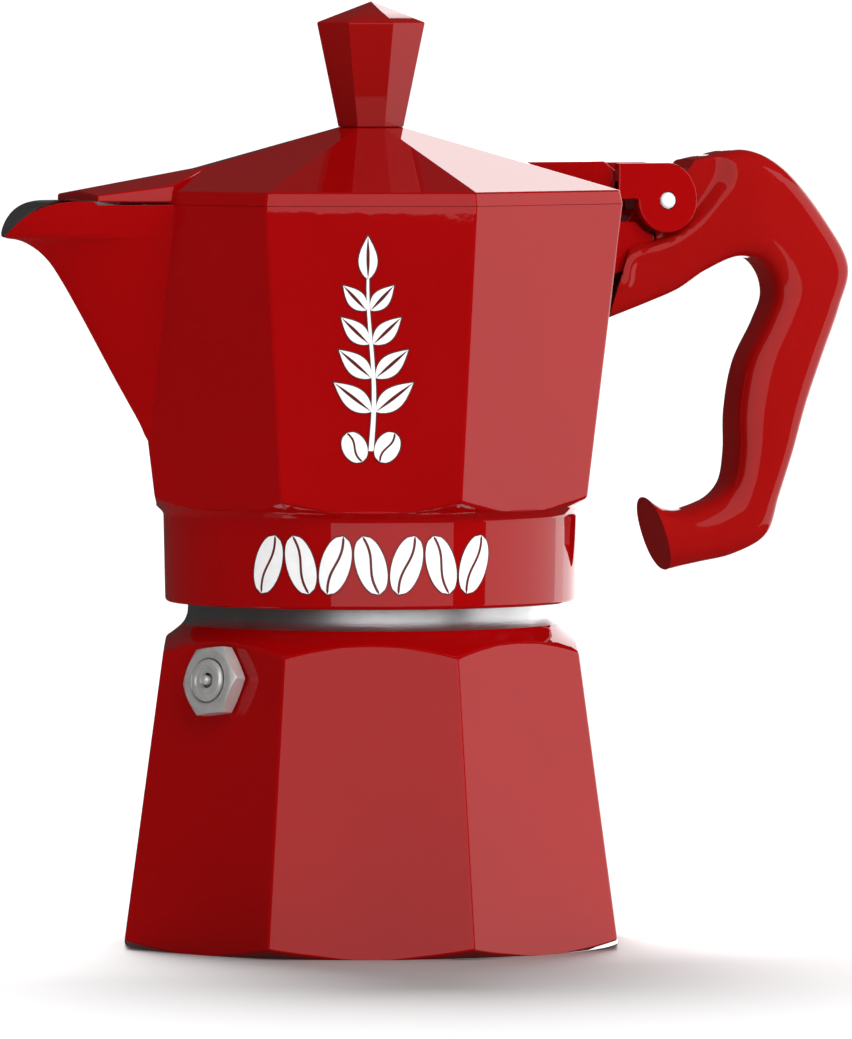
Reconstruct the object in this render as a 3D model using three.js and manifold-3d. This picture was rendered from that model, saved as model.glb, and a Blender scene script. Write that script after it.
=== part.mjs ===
// Stovetop coffee maker (moka pot) for three cups: an octagonal boiler, a coffee funnel, an octagonal
// collecting chamber that screws onto the boiler, a hinged lid with a knob, and a hooked handle.
//
// Millimetres, +Z up. The origin is the centre of the boiler's base, on the surface it stands on.
// +X points to the handle and -X to the spout. Corners of every octagon lie on the X and Y axes.

import * as THREE from 'three';
import { mergeVertices } from 'three/addons/utils/BufferGeometryUtils.js';
import { ConvexGeometry } from 'three/addons/geometries/ConvexGeometry.js';
import Module from 'manifold-3d';

const wasm = await Module();
wasm.setup();

// ---------------------------------------------------------------- driving dimensions

const OCTAGON_RATIO = Math.cos(Math.PI / 8); // apothem of an octagon over its corner radius
const GAP = 0.3; // gap left between neighbouring pieces

// Boiler: corner radii and heights of its octagonal wall, and the round neck above it. The foot and
// the shoulder are cones that cut the octagon's corners off, so that it ends in a round at both ends.
const BOILER = {
  baseCorner: 44.8, footRound: 41.4, footSlope: 0.5,
  topCorner: 37.6, topZ: 49.5, shoulderSlope: 0.67,
  neckRound: 30.75, rimZ: 69, mouthRound: 27.9, rimChamfer: 0.6,
  floor: 3, innerFloorRound: 36.2, innerTopRound: 31.6, standInner: 22, standOuter: 34, hollow: 0.8,
};

// The thread that joins the boiler's neck and the chamber's collar
const THREAD = {
  pitch: 3, crest: 31.75, root: 30.3, crestHalf: 0.4, rootHalf: 1.1,
  startZ: 59.3, turns: 2.5, segments: 24,
};

// Safety valve, on the middle of the facet next to the spout. Its own lengths run along its axis,
// outwards from the wall's outer face.
const VALVE = {
  angle: 202.5, z: 45.1, acrossFlats: 11, proud: 3.7, shank: 4.1, shankEnd: -6, seat: -4.2,
  seatBore: 1.3, springBore: 2.6, capSeat: 2.5, mouth: 3.8, head: 2.2, headBottom: -3,
};

// Funnel with its coffee basket
const FUNNEL = {
  flangeRound: 30.2, flangeTop: 70.1, flangeThick: 0.8,
  basketRound: 27.1, basketBottom: 49.5, wall: 0.9,
  tubeRound: 4.5, tubeEndZ: 8.5, shoulder: 6,
};

// Gasket and filter plate under the chamber's floor, and the holes of the two filters
const SEAL = { outer: 30.7, inner: 25.4, bottom: 70.5, top: 73.2 };
const PLATE = { round: 28, bottom: 73.6, thick: 0.8, raised: 0.5, raisedRound: 22.5, bendRound: 24 };
const HOLES = { rings: 2, radius: 1.2, basketSpacing: 9, plateSpacing: 8.5 };

// Collecting chamber
const CHAMBER = {
  collarBottom: 57.5, collarTop: 72.4, collarRoundLow: 34.6, collarRoundHigh: 34.9,
  boreRound: 31.05, boreTop: 73.5, plateSeatRound: 28.4, plateSeatZ: 75, floorZ: 77.3,
  lowCorner: 39.1, lowZ: 75.5, rimCorner: 45.4, rimZ: 124.45, wall: 2.2,
  columnLow: 7.5, columnTop: 5.2, columnBore: 3.1, columnZ: 118,
};

// Spout: it grows out of the corner on -X
const SPOUT = { startZ: 84.2, tip: 66, tipZ: 119.1, rimHalf: 12, wall: 2 };

// Lid
const LID = {
  bottom: 124.75, edgeTop: 126.7, edgeCorner: 44.9, topCorner: 5.5, topZ: 137.1, wall: 1.8,
  skirtCorner: 41.4, skirtDrop: 1.6, skirtWall: 1.4, screwHole: 2.3,
  tabHalf: 4.4, tabTop: 131.1, tabEnd: 44.8, tabEdge: 3.2,
};

// The lid's cover over the spout: a low roof whose ridge runs from its front up to the lid
const COVER = {
  front: 52.9, frontHalf: 9.2, frontZ: 126.8, eavesZ: 126.05,
  shoulder: 40.3, rearHalf: 11.4, shoulderZ: 127.6, rear: 29.1, rearZ: 130.87,
};

// Hinge between lid, chamber and handle
const HINGE = {
  x: 51.7, z: 124.45, pinRound: 1.4, holeRound: 1.55,
  earInner: 4.5, earOuter: 6.4, earRound: 5.45, earTop: 130.8, earFront: 42.6,
  bossRound: 4.4, lugHalf: 2, cheekInner: 2.3, cheekOuter: 4.2, bracketEnd: 50.2,
  earClear: 0.6, notchStart: 216, notchEnd: 252,
};

// Knob
const KNOB = { bottom: 137.4, bottomCorner: 5.9, shoulderZ: 154.6, topCorner: 9.8, apexZ: 158.1 };
const INSERT = { round: 3.2, bore: 2.15, bottom: 137.8, top: 148.2 };
const WASHER = { round: 5, bottom: 134.2, thick: 0.8 };
const SCREW = { stem: 1.9, head: 3.7, headTop: 133.9, end: 147.8 };

// ---------------------------------------------------------------- helpers

const radians = (degrees) => (degrees * Math.PI) / 180;

// A geometry as a manifold-3d solid, with its faces turned outwards.
function solid(geometry) {
  const bare = geometry.clone();
  bare.deleteAttribute('normal');
  bare.deleteAttribute('uv');
  const merged = mergeVertices(bare, 1e-4);
  const triVerts = new Uint32Array(merged.index.array);
  const vertProperties = new Float32Array(merged.attributes.position.array);
  if (signedVolume(vertProperties, triVerts) < 0) {
    for (let i = 0; i < triVerts.length; i += 3) {
      [triVerts[i], triVerts[i + 1]] = [triVerts[i + 1], triVerts[i]];
    }
  }
  return new wasm.Manifold(new wasm.Mesh({ numProp: 3, vertProperties, triVerts }));
}

function signedVolume(points, triangles) {
  const a = new THREE.Vector3();
  const b = new THREE.Vector3();
  const c = new THREE.Vector3();
  let volume = 0;
  for (let i = 0; i < triangles.length; i += 3) {
    a.fromArray(points, triangles[i] * 3);
    b.fromArray(points, triangles[i + 1] * 3);
    c.fromArray(points, triangles[i + 2] * 3);
    volume += a.dot(b.cross(c)) / 6;
  }
  return volume;
}

// A manifold-3d solid as a three.js geometry.
function geometryOf(manifold) {
  const mesh = manifold.getMesh();
  const geometry = new THREE.BufferGeometry();
  geometry.setAttribute('position', new THREE.BufferAttribute(new Float32Array(mesh.vertProperties), 3));
  geometry.setIndex(new THREE.BufferAttribute(new Uint32Array(mesh.triVerts), 1));
  geometry.computeVertexNormals();
  return geometry;
}

// A [radius, z] profile turned about Z. Eight segments give an octagon with corners on X and Y.
function turned(profile, segments = 48) {
  const points = profile.map(([radius, z]) => new THREE.Vector2(radius, z));
  if (profile[0][0] !== 0 || profile.at(-1)[0] !== 0) {
    points.push(points[0].clone());
  }
  const geometry = new THREE.LatheGeometry(points, segments);
  geometry.rotateX(Math.PI / 2);
  return solid(geometry);
}

const octagonal = (profile) => turned(profile, 8);

// A rod along Z between two heights.
function rod(radius, bottom, top, segments = 32) {
  const geometry = new THREE.CylinderGeometry(radius, radius, top - bottom, segments);
  geometry.rotateX(Math.PI / 2);
  geometry.translate(0, 0, (bottom + top) / 2);
  return solid(geometry);
}

// A rod along Y through a point of the XZ plane.
function crossRod(radius, x, z, halfLength, segments = 24) {
  const geometry = new THREE.CylinderGeometry(radius, radius, halfLength * 2, segments);
  geometry.translate(x, 0, z);
  return solid(geometry);
}

function block([x0, x1], [y0, y1], [z0, z1]) {
  const geometry = new THREE.BoxGeometry(x1 - x0, y1 - y0, z1 - z0);
  geometry.translate((x0 + x1) / 2, (y0 + y1) / 2, (z0 + z1) / 2);
  return solid(geometry);
}

// A shape drawn in X and Z, given thickness along Y.
function upright(shape, y0, y1) {
  const geometry = new THREE.ExtrudeGeometry(shape, { depth: y1 - y0, bevelEnabled: false });
  geometry.rotateX(Math.PI / 2);
  geometry.translate(0, y1, 0);
  return solid(geometry);
}

// The same upright shape on both sides of the XZ plane, between two distances from it.
function uprightPair(shape, inner, outer) {
  return upright(shape, inner, outer).add(upright(shape, -outer, -inner));
}

// A closed skin through rings of equal point counts, capped at both ends.
function lofted(rings) {
  const count = rings[0].length;
  const positions = rings.flat().flatMap((point) => point.toArray());
  const indices = [];
  for (let r = 0; r + 1 < rings.length; r += 1) {
    for (let i = 0; i < count; i += 1) {
      const a = r * count + i;
      const b = r * count + ((i + 1) % count);
      indices.push(a, b, b + count, a, b + count, a + count);
    }
  }
  for (const [ring, first] of [[rings[0], 0], [rings.at(-1), (rings.length - 1) * count]]) {
    const centre = ring.reduce((sum, point) => sum.add(point), new THREE.Vector3()).divideScalar(count);
    const hub = positions.length / 3;
    positions.push(...centre.toArray());
    for (let i = 0; i < count; i += 1) {
      const a = first + i;
      const b = first + ((i + 1) % count);
      indices.push(...(first === 0 ? [b, a, hub] : [a, b, hub]));
    }
  }
  const geometry = new THREE.BufferGeometry();
  geometry.setAttribute('position', new THREE.Float32BufferAttribute(positions, 3));
  geometry.setIndex(indices);
  return solid(geometry);
}

// A ridge that winds up round Z: a section [radius, z] swept with the thread's pitch.
function threadRidge(section, startZ, turns) {
  const steps = Math.round(turns * THREAD.segments);
  const rings = [];
  for (let i = 0; i <= steps; i += 1) {
    const angle = (i / THREAD.segments) * 2 * Math.PI;
    const rise = (i / THREAD.segments) * THREAD.pitch;
    rings.push(section.map(([radius, z]) => new THREE.Vector3(
      radius * Math.cos(angle), radius * Math.sin(angle), startZ + z + rise)));
  }
  return lofted(rings);
}

// A wire wound into a spring along Z.
function coil(radius, wire, bottom, top, turns) {
  const points = [];
  const perTurn = 10;
  for (let i = 0; i <= turns * perTurn; i += 1) {
    const angle = (i / perTurn) * 2 * Math.PI;
    const z = bottom + ((top - bottom) * i) / (turns * perTurn);
    points.push(new THREE.Vector3(radius * Math.cos(angle), radius * Math.sin(angle), z));
  }
  const section = new THREE.Shape();
  section.absarc(0, 0, wire, 0, 2 * Math.PI);
  const path = new THREE.CatmullRomCurve3(points);
  return solid(new THREE.ExtrudeGeometry(section, {
    steps: turns * perTurn, extrudePath: path, curveSegments: 3,
  }));
}

// Six-sided holes on concentric rings, six more on each ring outwards.
function perforations(spacing, bottom, top) {
  const { rings, radius } = HOLES;
  const holes = [rod(radius, bottom, top, 6)];
  for (let ring = 1; ring <= rings; ring += 1) {
    for (let i = 0; i < ring * 6; i += 1) {
      const angle = (i / (ring * 6)) * 2 * Math.PI;
      holes.push(rod(radius, bottom, top, 6)
        .translate([ring * spacing * Math.cos(angle), ring * spacing * Math.sin(angle), 0]));
    }
  }
  return holes.reduce((all, hole) => all.add(hole));
}

// ---------------------------------------------------------------- boiler

function boilerApothem(z) {
  const corner = BOILER.baseCorner - ((BOILER.baseCorner - BOILER.topCorner) * z) / BOILER.topZ;
  return corner * OCTAGON_RATIO;
}

const boilerLean = Math.atan((boilerApothem(0) - boilerApothem(BOILER.topZ)) / BOILER.topZ);

function boiler() {
  const { baseCorner, topCorner, topZ, shoulderSlope, footRound, footSlope } = BOILER;
  const { neckRound, rimZ, rimChamfer } = BOILER;
  const cornerAtRim = baseCorner - ((baseCorner - topCorner) * rimZ) / topZ;
  const pyramid = octagonal([[0, 0], [baseCorner, 0], [cornerAtRim, rimZ], [0, rimZ]]);
  const clearRound = baseCorner + 2;
  const envelope = turned([
    [0, 0], [footRound, 0], [clearRound, (clearRound - footRound) * footSlope],
    [clearRound, topZ - (clearRound - topCorner) * shoulderSlope],
    [topCorner, topZ], [34.6, 51.5], [33, 52.6], [31.7, 53.7], [30.9, 55.1], [neckRound, 56.8],
    [neckRound, rimZ - rimChamfer], [neckRound - rimChamfer, rimZ], [0, rimZ],
  ]);
  const { crest, root, crestHalf, rootHalf, startZ, turns } = THREAD;
  const thread = threadRidge(
    [[root, -rootHalf], [crest, -crestHalf], [crest, crestHalf], [root, rootHalf]], startZ, turns);
  const { floor, innerFloorRound, innerTopRound, mouthRound } = BOILER;
  const cavity = turned([
    [0, floor], [innerFloorRound - 3, floor], [innerFloorRound - 0.9, floor + 0.9],
    [innerFloorRound, floor + 3], [innerTopRound, topZ - 2.5], [29.2, topZ + 2.6],
    [mouthRound, topZ + 5.5], [mouthRound, rimZ + 1], [0, rimZ + 1],
  ]);
  const { standInner, standOuter, hollow } = BOILER;
  const underside = turned([
    [standInner - 2, -1], [standInner, hollow], [standOuter, hollow], [standOuter + 2, -1],
  ]);
  const valveHole = rod(VALVE.shank + GAP, -10, 5, 24).transform(valvePlacement().toArray());
  return pyramid.intersect(envelope).add(thread).subtract(cavity).subtract(underside)
    .subtract(valveHole);
}

// ---------------------------------------------------------------- safety valve
// Its pieces are drawn along +Z, with z = 0 on the wall's outer face, then set on the leaning wall.

function valvePlacement() {
  const angle = radians(VALVE.angle);
  const apothem = boilerApothem(VALVE.z);
  const outward = new THREE.Vector3(
    Math.cos(angle) * Math.cos(boilerLean), Math.sin(angle) * Math.cos(boilerLean), Math.sin(boilerLean));
  const turn = new THREE.Quaternion().setFromUnitVectors(new THREE.Vector3(0, 0, 1), outward);
  const place = new THREE.Vector3(apothem * Math.cos(angle), apothem * Math.sin(angle), VALVE.z);
  return new THREE.Matrix4().compose(place, turn, new THREE.Vector3(1, 1, 1));
}

function valveBody() {
  const hexTop = VALVE.proud - 0.5;
  const cornerRadius = VALVE.acrossFlats / 2 / Math.cos(Math.PI / 6);
  const hexagon = rod(cornerRadius, GAP, hexTop, 6);
  const chamfer = turned([
    [0, GAP], [cornerRadius, GAP], [cornerRadius, hexTop - 0.6], [VALVE.acrossFlats / 2, hexTop],
    [0, hexTop],
  ], 32);
  const { shank, shankEnd, seat, seatBore, springBore, capSeat, mouth } = VALVE;
  const threadedShank = turned([
    [0, shankEnd], [shank - 0.4, shankEnd], [shank, shankEnd + 0.4], [shank, GAP + 0.2], [0, GAP + 0.2],
  ], 24);
  const bore = turned([
    [0, shankEnd - 1], [seatBore, shankEnd - 1], [seatBore, seat], [springBore, seat],
    [springBore, capSeat], [mouth, capSeat], [mouth, hexTop + 1], [0, hexTop + 1],
  ], 24);
  return hexagon.intersect(chamfer).add(threadedShank).subtract(bore);
}

// The ring crimped into the body's mouth, which holds the spring in.
function valveCap() {
  const bottom = VALVE.capSeat + GAP;
  const round = VALVE.mouth - GAP;
  return turned([
    [1.25, bottom], [round, bottom], [round, VALVE.proud - GAP], [round - GAP, VALVE.proud],
    [1.25, VALVE.proud],
  ], 24);
}

// The plunger: a head on the seat inside, and a stem that shows in the middle of the cap.
function valveStem() {
  const { head, headBottom, proud } = VALVE;
  const round = 0.8;
  const end = proud + 0.5;
  return turned([
    [0, headBottom], [head, headBottom], [head, headBottom + 0.6], [round, headBottom + 0.8],
    [round, end - GAP], [round - GAP, end], [0, end],
  ], 16);
}

// The soft disc under the plunger's head that closes the seat.
const valveSeal = () => rod(VALVE.head, VALVE.seat + GAP, VALVE.headBottom - GAP, 16);

function valveSpring() {
  const wire = 0.3;
  const turns = 4;
  const middle = 1.65;
  return coil(middle, wire, VALVE.headBottom + 1.3, VALVE.capSeat - wire, turns);
}

// ---------------------------------------------------------------- funnel and filters

function funnel() {
  const { flangeRound, flangeTop, flangeThick, basketRound, basketBottom, wall } = FUNNEL;
  const { tubeRound, tubeEndZ, shoulder } = FUNNEL;
  return turned([
    [basketRound - wall, flangeTop], [flangeRound, flangeTop], [flangeRound, flangeTop - flangeThick],
    [basketRound, flangeTop - flangeThick], [basketRound, basketBottom],
    [basketRound - 1, basketBottom - 1], [tubeRound + 2, basketBottom - shoulder],
    [tubeRound, basketBottom - shoulder - 2], [tubeRound, tubeEndZ],
    [tubeRound - wall, tubeEndZ], [tubeRound - wall, basketBottom - shoulder - 1.6],
    [tubeRound + 1.6, basketBottom - shoulder + 0.6], [basketRound - 3, basketBottom],
    [basketRound - wall, basketBottom],
  ], 40);
}

// The perforated disc that lies in the basket and carries the coffee.
function funnelFilter() {
  const bottom = FUNNEL.basketBottom + GAP;
  const disc = rod(FUNNEL.basketRound - FUNNEL.wall - GAP, bottom, bottom + PLATE.thick, 36);
  return disc.subtract(perforations(HOLES.basketSpacing, bottom - 1, bottom + 2));
}

const gasket = () => turned([
  [SEAL.inner, SEAL.bottom], [SEAL.outer, SEAL.bottom], [SEAL.outer, SEAL.top], [SEAL.inner, SEAL.top],
]);

// The perforated plate above the gasket, with a slightly raised middle.
function filterPlate() {
  const { round, bottom, thick, raised, raisedRound, bendRound } = PLATE;
  const top = bottom + thick;
  const disc = turned([
    [0, bottom + raised], [raisedRound, bottom + raised], [bendRound, bottom], [round, bottom],
    [round, top], [bendRound, top], [raisedRound, top + raised], [0, top + raised],
  ], 36);
  return disc.subtract(perforations(HOLES.plateSpacing, bottom - 1, top + 2));
}

// ---------------------------------------------------------------- collecting chamber

function chamberCorner(z) {
  const { lowCorner, lowZ, rimCorner, rimZ } = CHAMBER;
  return lowCorner + ((rimCorner - lowCorner) * (z - lowZ)) / (rimZ - lowZ);
}

// The spout's keel: how far it stands out from the axis at a height.
const keel = new THREE.CatmullRomCurve3([
  [39.6, 84.2], [46.4, 95.7], [52.5, 106.4], [56, 112.2], [57.9, 114.9], [60.2, 117],
  [63.1, 118.5], [66.4, 119.2], [67.4, 121], [67.8, 124.6],
].map(([out, z]) => new THREE.Vector3(out, 0, z)), false, 'centripetal');

// One level of the spout in plan: a pointed arch from one facet of the chamber to the other.
function spoutRing(out, z, inset) {
  const share = (z - SPOUT.startZ) / (CHAMBER.rimZ - SPOUT.startZ);
  const half = Math.max(SPOUT.rimHalf * share - inset, 0.4);
  const root = (chamberCorner(z) * OCTAGON_RATIO - Math.sin(Math.PI / 8) * half) / OCTAGON_RATIO - inset;
  const apex = Math.max(out - inset * 1.4, root + 0.2);
  const power = 1.05 + 0.45 * share;
  const backX = 25;
  const ring = [new THREE.Vector3(-backX, -half, z)];
  const steps = 7;
  for (let i = -steps; i <= steps; i += 1) {
    const side = Math.sign(i);
    const along = 1 - Math.pow(Math.abs(i) / steps, 1.5);
    const y = side * half * Math.pow(Math.max(1 - Math.pow(along, power), 0), 1 / power);
    ring.push(new THREE.Vector3(-(root + (apex - root) * along), y, z));
  }
  ring.push(new THREE.Vector3(-backX, half, z));
  return ring;
}

function spoutHull(inset, lift) {
  const rings = keel.getPoints(15).map((point) => spoutRing(point.x, point.z + lift, inset));
  return lofted(rings);
}

// Everything in front of the pouring lip, which falls from the rim to the spout's tip.
function lipCut() {
  const shape = new THREE.Shape();
  shape.moveTo(-SPOUT.tip - 0.3, SPOUT.tipZ - 0.6);
  shape.bezierCurveTo(-64.4, 121.2, -61.4, 124.4, -55, CHAMBER.rimZ + 0.1);
  shape.lineTo(-55, 130);
  shape.lineTo(-80, 130);
  shape.lineTo(-80, SPOUT.tipZ - 0.6);
  shape.closePath();
  return upright(shape, -20, 20);
}

function hingeLug() {
  const { x, z, bossRound, lugHalf } = HINGE;
  const shape = new THREE.Shape();
  shape.moveTo(41, 112.2);
  shape.lineTo(53.6, 116.4);
  shape.lineTo(x + bossRound, z - 2);
  shape.absarc(x, z, bossRound, radians(-25), radians(200), false);
  shape.lineTo(45.6, 120.6);
  shape.lineTo(41, 120.6);
  shape.closePath();
  return upright(shape, -lugHalf, lugHalf).add(bracket());
}

// The wide foot of the lug, hollowed on top so that the lid's ears can turn.
function bracket() {
  const { x, z, cheekOuter, bracketEnd, earRound, earClear, notchStart } = HINGE;
  const clear = earRound + earClear;
  const shape = new THREE.Shape();
  shape.moveTo(38, 111.7);
  shape.lineTo(42, 111.7);
  shape.lineTo(bracketEnd, 114.4);
  shape.lineTo(bracketEnd, z - Math.sqrt(clear ** 2 - (x - bracketEnd) ** 2));
  shape.absarc(x, z, clear, radians(180) + Math.acos((x - bracketEnd) / clear), radians(notchStart), true);
  shape.lineTo(38, z + clear * Math.sin(radians(notchStart)));
  shape.closePath();
  return upright(shape, -cheekOuter, cheekOuter);
}

function upperChamber() {
  const { collarBottom, collarTop, collarRoundLow, collarRoundHigh, rimCorner, rimZ, wall } = CHAMBER;
  const { boreRound, boreTop, plateSeatRound, plateSeatZ, floorZ } = CHAMBER;
  const { columnLow, columnTop, columnBore, columnZ } = CHAMBER;
  const collar = turned([
    [0, collarBottom], [collarRoundLow - 0.5, collarBottom], [collarRoundLow, collarBottom + 0.5],
    [collarRoundHigh, collarTop], [collarRoundHigh, collarTop + 1], [0, collarTop + 1],
  ]);
  const walls = octagonal([
    [0, collarTop], [chamberCorner(collarTop), collarTop], [rimCorner, rimZ], [0, rimZ],
  ]).intersect(turned([
    [0, collarTop], [collarRoundHigh, collarTop], [36.2, 73.65], [48, 80.9], [48, rimZ], [0, rimZ],
  ]));
  const spout = spoutHull(0, 0);
  const wallCorner = wall / OCTAGON_RATIO;
  const cavity = octagonal([
    [0, floorZ], [chamberCorner(floorZ) - wallCorner, floorZ],
    [rimCorner - wallCorner + 0.7, rimZ + 5], [0, rimZ + 5],
  ]).intersect(turned([
    [0, floorZ], [32.5, floorZ], [35.5, 79.2], [44, 92], [44, rimZ + 4], [0, rimZ + 4],
  ]));
  const channel = spoutHull(SPOUT.wall, 1.9);
  const column = turned([
    [0, floorZ - 1], [columnLow + 1.5, floorZ - 1], [columnLow, floorZ + 2], [columnTop, columnZ - 2],
    [columnTop - 1.8, columnZ - 0.5], [0, columnZ],
  ], 32);
  const bore = turned([
    [0, collarBottom - 1], [boreRound + 1.2, collarBottom - 1], [boreRound + 1.2, collarBottom],
    [boreRound, collarBottom + 1], [boreRound, boreTop], [plateSeatRound, boreTop],
    [plateSeatRound, plateSeatZ], [columnBore + 2, plateSeatZ + 0.4], [columnBore, floorZ - 0.3],
    [columnBore, columnZ - 3], [0, columnZ - 3],
  ]);
  const { crest, root, crestHalf, rootHalf, startZ, pitch, turns } = THREAD;
  const clear = GAP * 0.6;
  const groove = threadRidge([
    [root + GAP, -rootHalf - clear], [crest + GAP, -crestHalf - clear],
    [crest + GAP, crestHalf + clear], [root + GAP, rootHalf + clear],
  ], startZ - pitch, turns + 1.15);
  const window = block([-2, 2], [-10, 10], [columnZ - 9, columnZ - 4]);
  const pinHole = crossRod(HINGE.holeRound, HINGE.x, HINGE.z, 10);
  return walls.add(spout).subtract(cavity).subtract(channel).subtract(lipCut())
    .add(collar).add(column).add(hingeLug())
    .subtract(bore).subtract(groove).subtract(window).subtract(pinHole);
}

// ---------------------------------------------------------------- lid

function spoutCover() {
  const { bottom } = LID;
  const { front, frontHalf, frontZ, eavesZ, rear, rearZ, rearHalf, shoulder, shoulderZ } = COVER;
  const points = [
    new THREE.Vector3(-front, 0, frontZ), new THREE.Vector3(-rear, 0, rearZ),
    new THREE.Vector3(-rear, 0, bottom),
  ];
  for (const side of [-1, 1]) {
    points.push(new THREE.Vector3(-front, side * frontHalf, eavesZ));
    points.push(new THREE.Vector3(-front, side * frontHalf, bottom + 0.1));
    points.push(new THREE.Vector3(-shoulder, side * rearHalf, shoulderZ));
    points.push(new THREE.Vector3(-shoulder, side * rearHalf, bottom));
  }
  return solid(new ConvexGeometry(points));
}

function lidTab() {
  const { tabHalf, tabTop, tabEnd, tabEdge, bottom } = LID;
  const shape = new THREE.Shape();
  shape.moveTo(20, bottom);
  shape.lineTo(tabEnd, bottom);
  shape.lineTo(tabEnd, bottom + tabEdge);
  shape.lineTo(41, tabTop);
  shape.lineTo(20, tabTop);
  shape.closePath();
  return upright(shape, -tabHalf, tabHalf);
}

function lidEars() {
  const { x, z, earInner, earOuter, earRound, earTop, earFront } = HINGE;
  const shape = new THREE.Shape();
  shape.moveTo(earFront, LID.bottom);
  shape.lineTo(x - earRound, LID.bottom);
  shape.absarc(x, z, earRound, Math.PI, 2 * Math.PI, false);
  shape.absellipse(x, z, earRound, earTop - z, 0, Math.PI / 2, false, 0);
  shape.lineTo(earFront, earTop);
  shape.closePath();
  const bridge = block(
    [earFront, LID.tabEnd], [-earOuter, earOuter], [LID.bottom, LID.bottom + LID.tabEdge]);
  return uprightPair(shape, earInner, earOuter).add(bridge);
}

function lid() {
  const { bottom, edgeTop, edgeCorner, topCorner, topZ, wall, screwHole } = LID;
  const { skirtCorner, skirtDrop, skirtWall } = LID;
  const roof = octagonal([
    [0, bottom], [CHAMBER.rimCorner, bottom], [edgeCorner, edgeTop], [topCorner, topZ], [0, topZ],
  ]);
  const skirt = octagonal([
    [0, bottom - skirtDrop], [skirtCorner, bottom - skirtDrop], [skirtCorner, bottom + 1], [0, bottom + 1],
  ]);
  const slope = (topZ - edgeTop) / (edgeCorner - topCorner);
  const hollowCorner = skirtCorner - skirtWall;
  const hollowEdgeZ = edgeTop + slope * (edgeCorner - hollowCorner) - wall;
  const hollow = octagonal([
    [0, bottom - 3], [hollowCorner, bottom - 3], [hollowCorner, hollowEdgeZ],
    [topCorner + 1, topZ - wall], [0, topZ - wall],
  ]);
  return roof.add(skirt).add(spoutCover()).add(lidTab()).subtract(hollow).add(lidEars())
    .subtract(crossRod(HINGE.holeRound, HINGE.x, HINGE.z, 10))
    .subtract(rod(screwHole, topZ - 5, topZ + 5, 24));
}

// ---------------------------------------------------------------- knob and its screw

function knob() {
  const { bottom, bottomCorner, shoulderZ, topCorner, apexZ } = KNOB;
  const body = octagonal([[0, bottom], [bottomCorner, bottom], [topCorner, shoulderZ], [0, apexZ]]);
  return body.subtract(rod(INSERT.round + GAP, bottom - 1, INSERT.top + GAP, 24));
}

// The threaded brass sleeve moulded into the knob.
function knobInsert() {
  const { bore, round, bottom, top } = INSERT;
  return turned([[bore, bottom], [round, bottom], [round, top], [bore, top]], 24);
}

function knobWasher() {
  const { round, bottom, thick } = WASHER;
  const hole = LID.screwHole;
  return turned([
    [hole, bottom], [round, bottom], [round, bottom + thick], [hole, bottom + thick],
  ], 24);
}

// Round head under the lid, threaded stem up into the knob.
function knobScrew() {
  const { stem, head, headTop, end } = SCREW;
  const headBottom = headTop - 2;
  const slotBlade = block([-0.5, 0.5], [-5, 5], [headBottom - 1, headBottom + 0.9]);
  return turned([
    [0, headBottom], [head - 1.5, headBottom], [head - 0.3, headTop - 1.2], [head, headTop],
    [stem, headTop], [stem, end - 0.6], [stem - 0.5, end], [0, end],
  ], 24).subtract(slotBlade);
}

// ---------------------------------------------------------------- handle

// Stations along the handle: [inner x, inner z, outer x, outer z, half thickness, squareness].
// The inner edge faces the pot; the stations run from the root at the chamber to the hook's end.
const HANDLE_STATIONS = [
  [41.6, 104.4, 42.6, 126, 5.9, 6],
  [48.9, 107, 48.6, 129.6, 5.9, 6],
  [54.5, 109.2, 54.6, 130.6, 5.9, 6],
  [59.8, 112.3, 60.9, 132, 5.9, 5],
  [66.2, 114.7, 67.6, 133, 5.8, 4.5],
  [69.9, 114.1, 73.9, 130.4, 5.6, 4],
  [72.2, 111.4, 82.4, 121, 5.5, 4],
  [72.8, 108, 86.8, 113, 5.5, 4],
  [71.2, 103.8, 85.1, 106.2, 5.5, 4],
  [67.6, 96.8, 82, 98, 5.5, 4],
  [66, 88.6, 79, 90, 5.5, 4],
  [65.9, 81, 76.4, 81.6, 5.5, 4],
  [64.9, 76.6, 73.9, 74, 5.4, 3.6],
  [62.4, 74.2, 71.8, 67.4, 5.3, 3],
  [59.1, 72.8, 66, 64.2, 5.3, 2.6],
  [55.6, 72, 59.8, 62.9, 5.3, 2.4],
  [52.6, 72.5, 56.6, 62.3, 5.3, 2.3],
  [49.9, 74.1, 53.9, 61.7, 5.3, 2.2],
];

function handleRings(perStation, ringPoints) {
  const [inner, outer] = [0, 2].map((at) => {
    const points = HANDLE_STATIONS.map((station) => new THREE.Vector3(station[at], 0, station[at + 1]));
    return new THREE.CatmullRomCurve3(points, false, 'centripetal');
  });
  const last = HANDLE_STATIONS.length - 1;
  const rings = [];
  for (let i = 0; i <= last * perStation; i += 1) {
    const share = i / (last * perStation);
    const station = Math.min(Math.floor(share * last), last - 1);
    const between = share * last - station;
    const [half, power] = [4, 5].map((at) => THREE.MathUtils.lerp(
      HANDLE_STATIONS[station][at], HANDLE_STATIONS[station + 1][at], between));
    const a = inner.getPoint(share);
    const b = outer.getPoint(share);
    const centre = a.clone().add(b).divideScalar(2);
    const reach = b.clone().sub(a).divideScalar(2);
    const ring = [];
    for (let k = 0; k < ringPoints; k += 1) {
      const angle = ((k + 0.5) / ringPoints) * 2 * Math.PI;
      const u = Math.sign(Math.cos(angle)) * Math.pow(Math.abs(Math.cos(angle)), 2 / power);
      const v = Math.sign(Math.sin(angle)) * Math.pow(Math.abs(Math.sin(angle)), 2 / power);
      ring.push(centre.clone().addScaledVector(reach, u).add(new THREE.Vector3(0, half * v, 0)));
    }
    rings.push(ring);
  }
  return rings;
}

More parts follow.
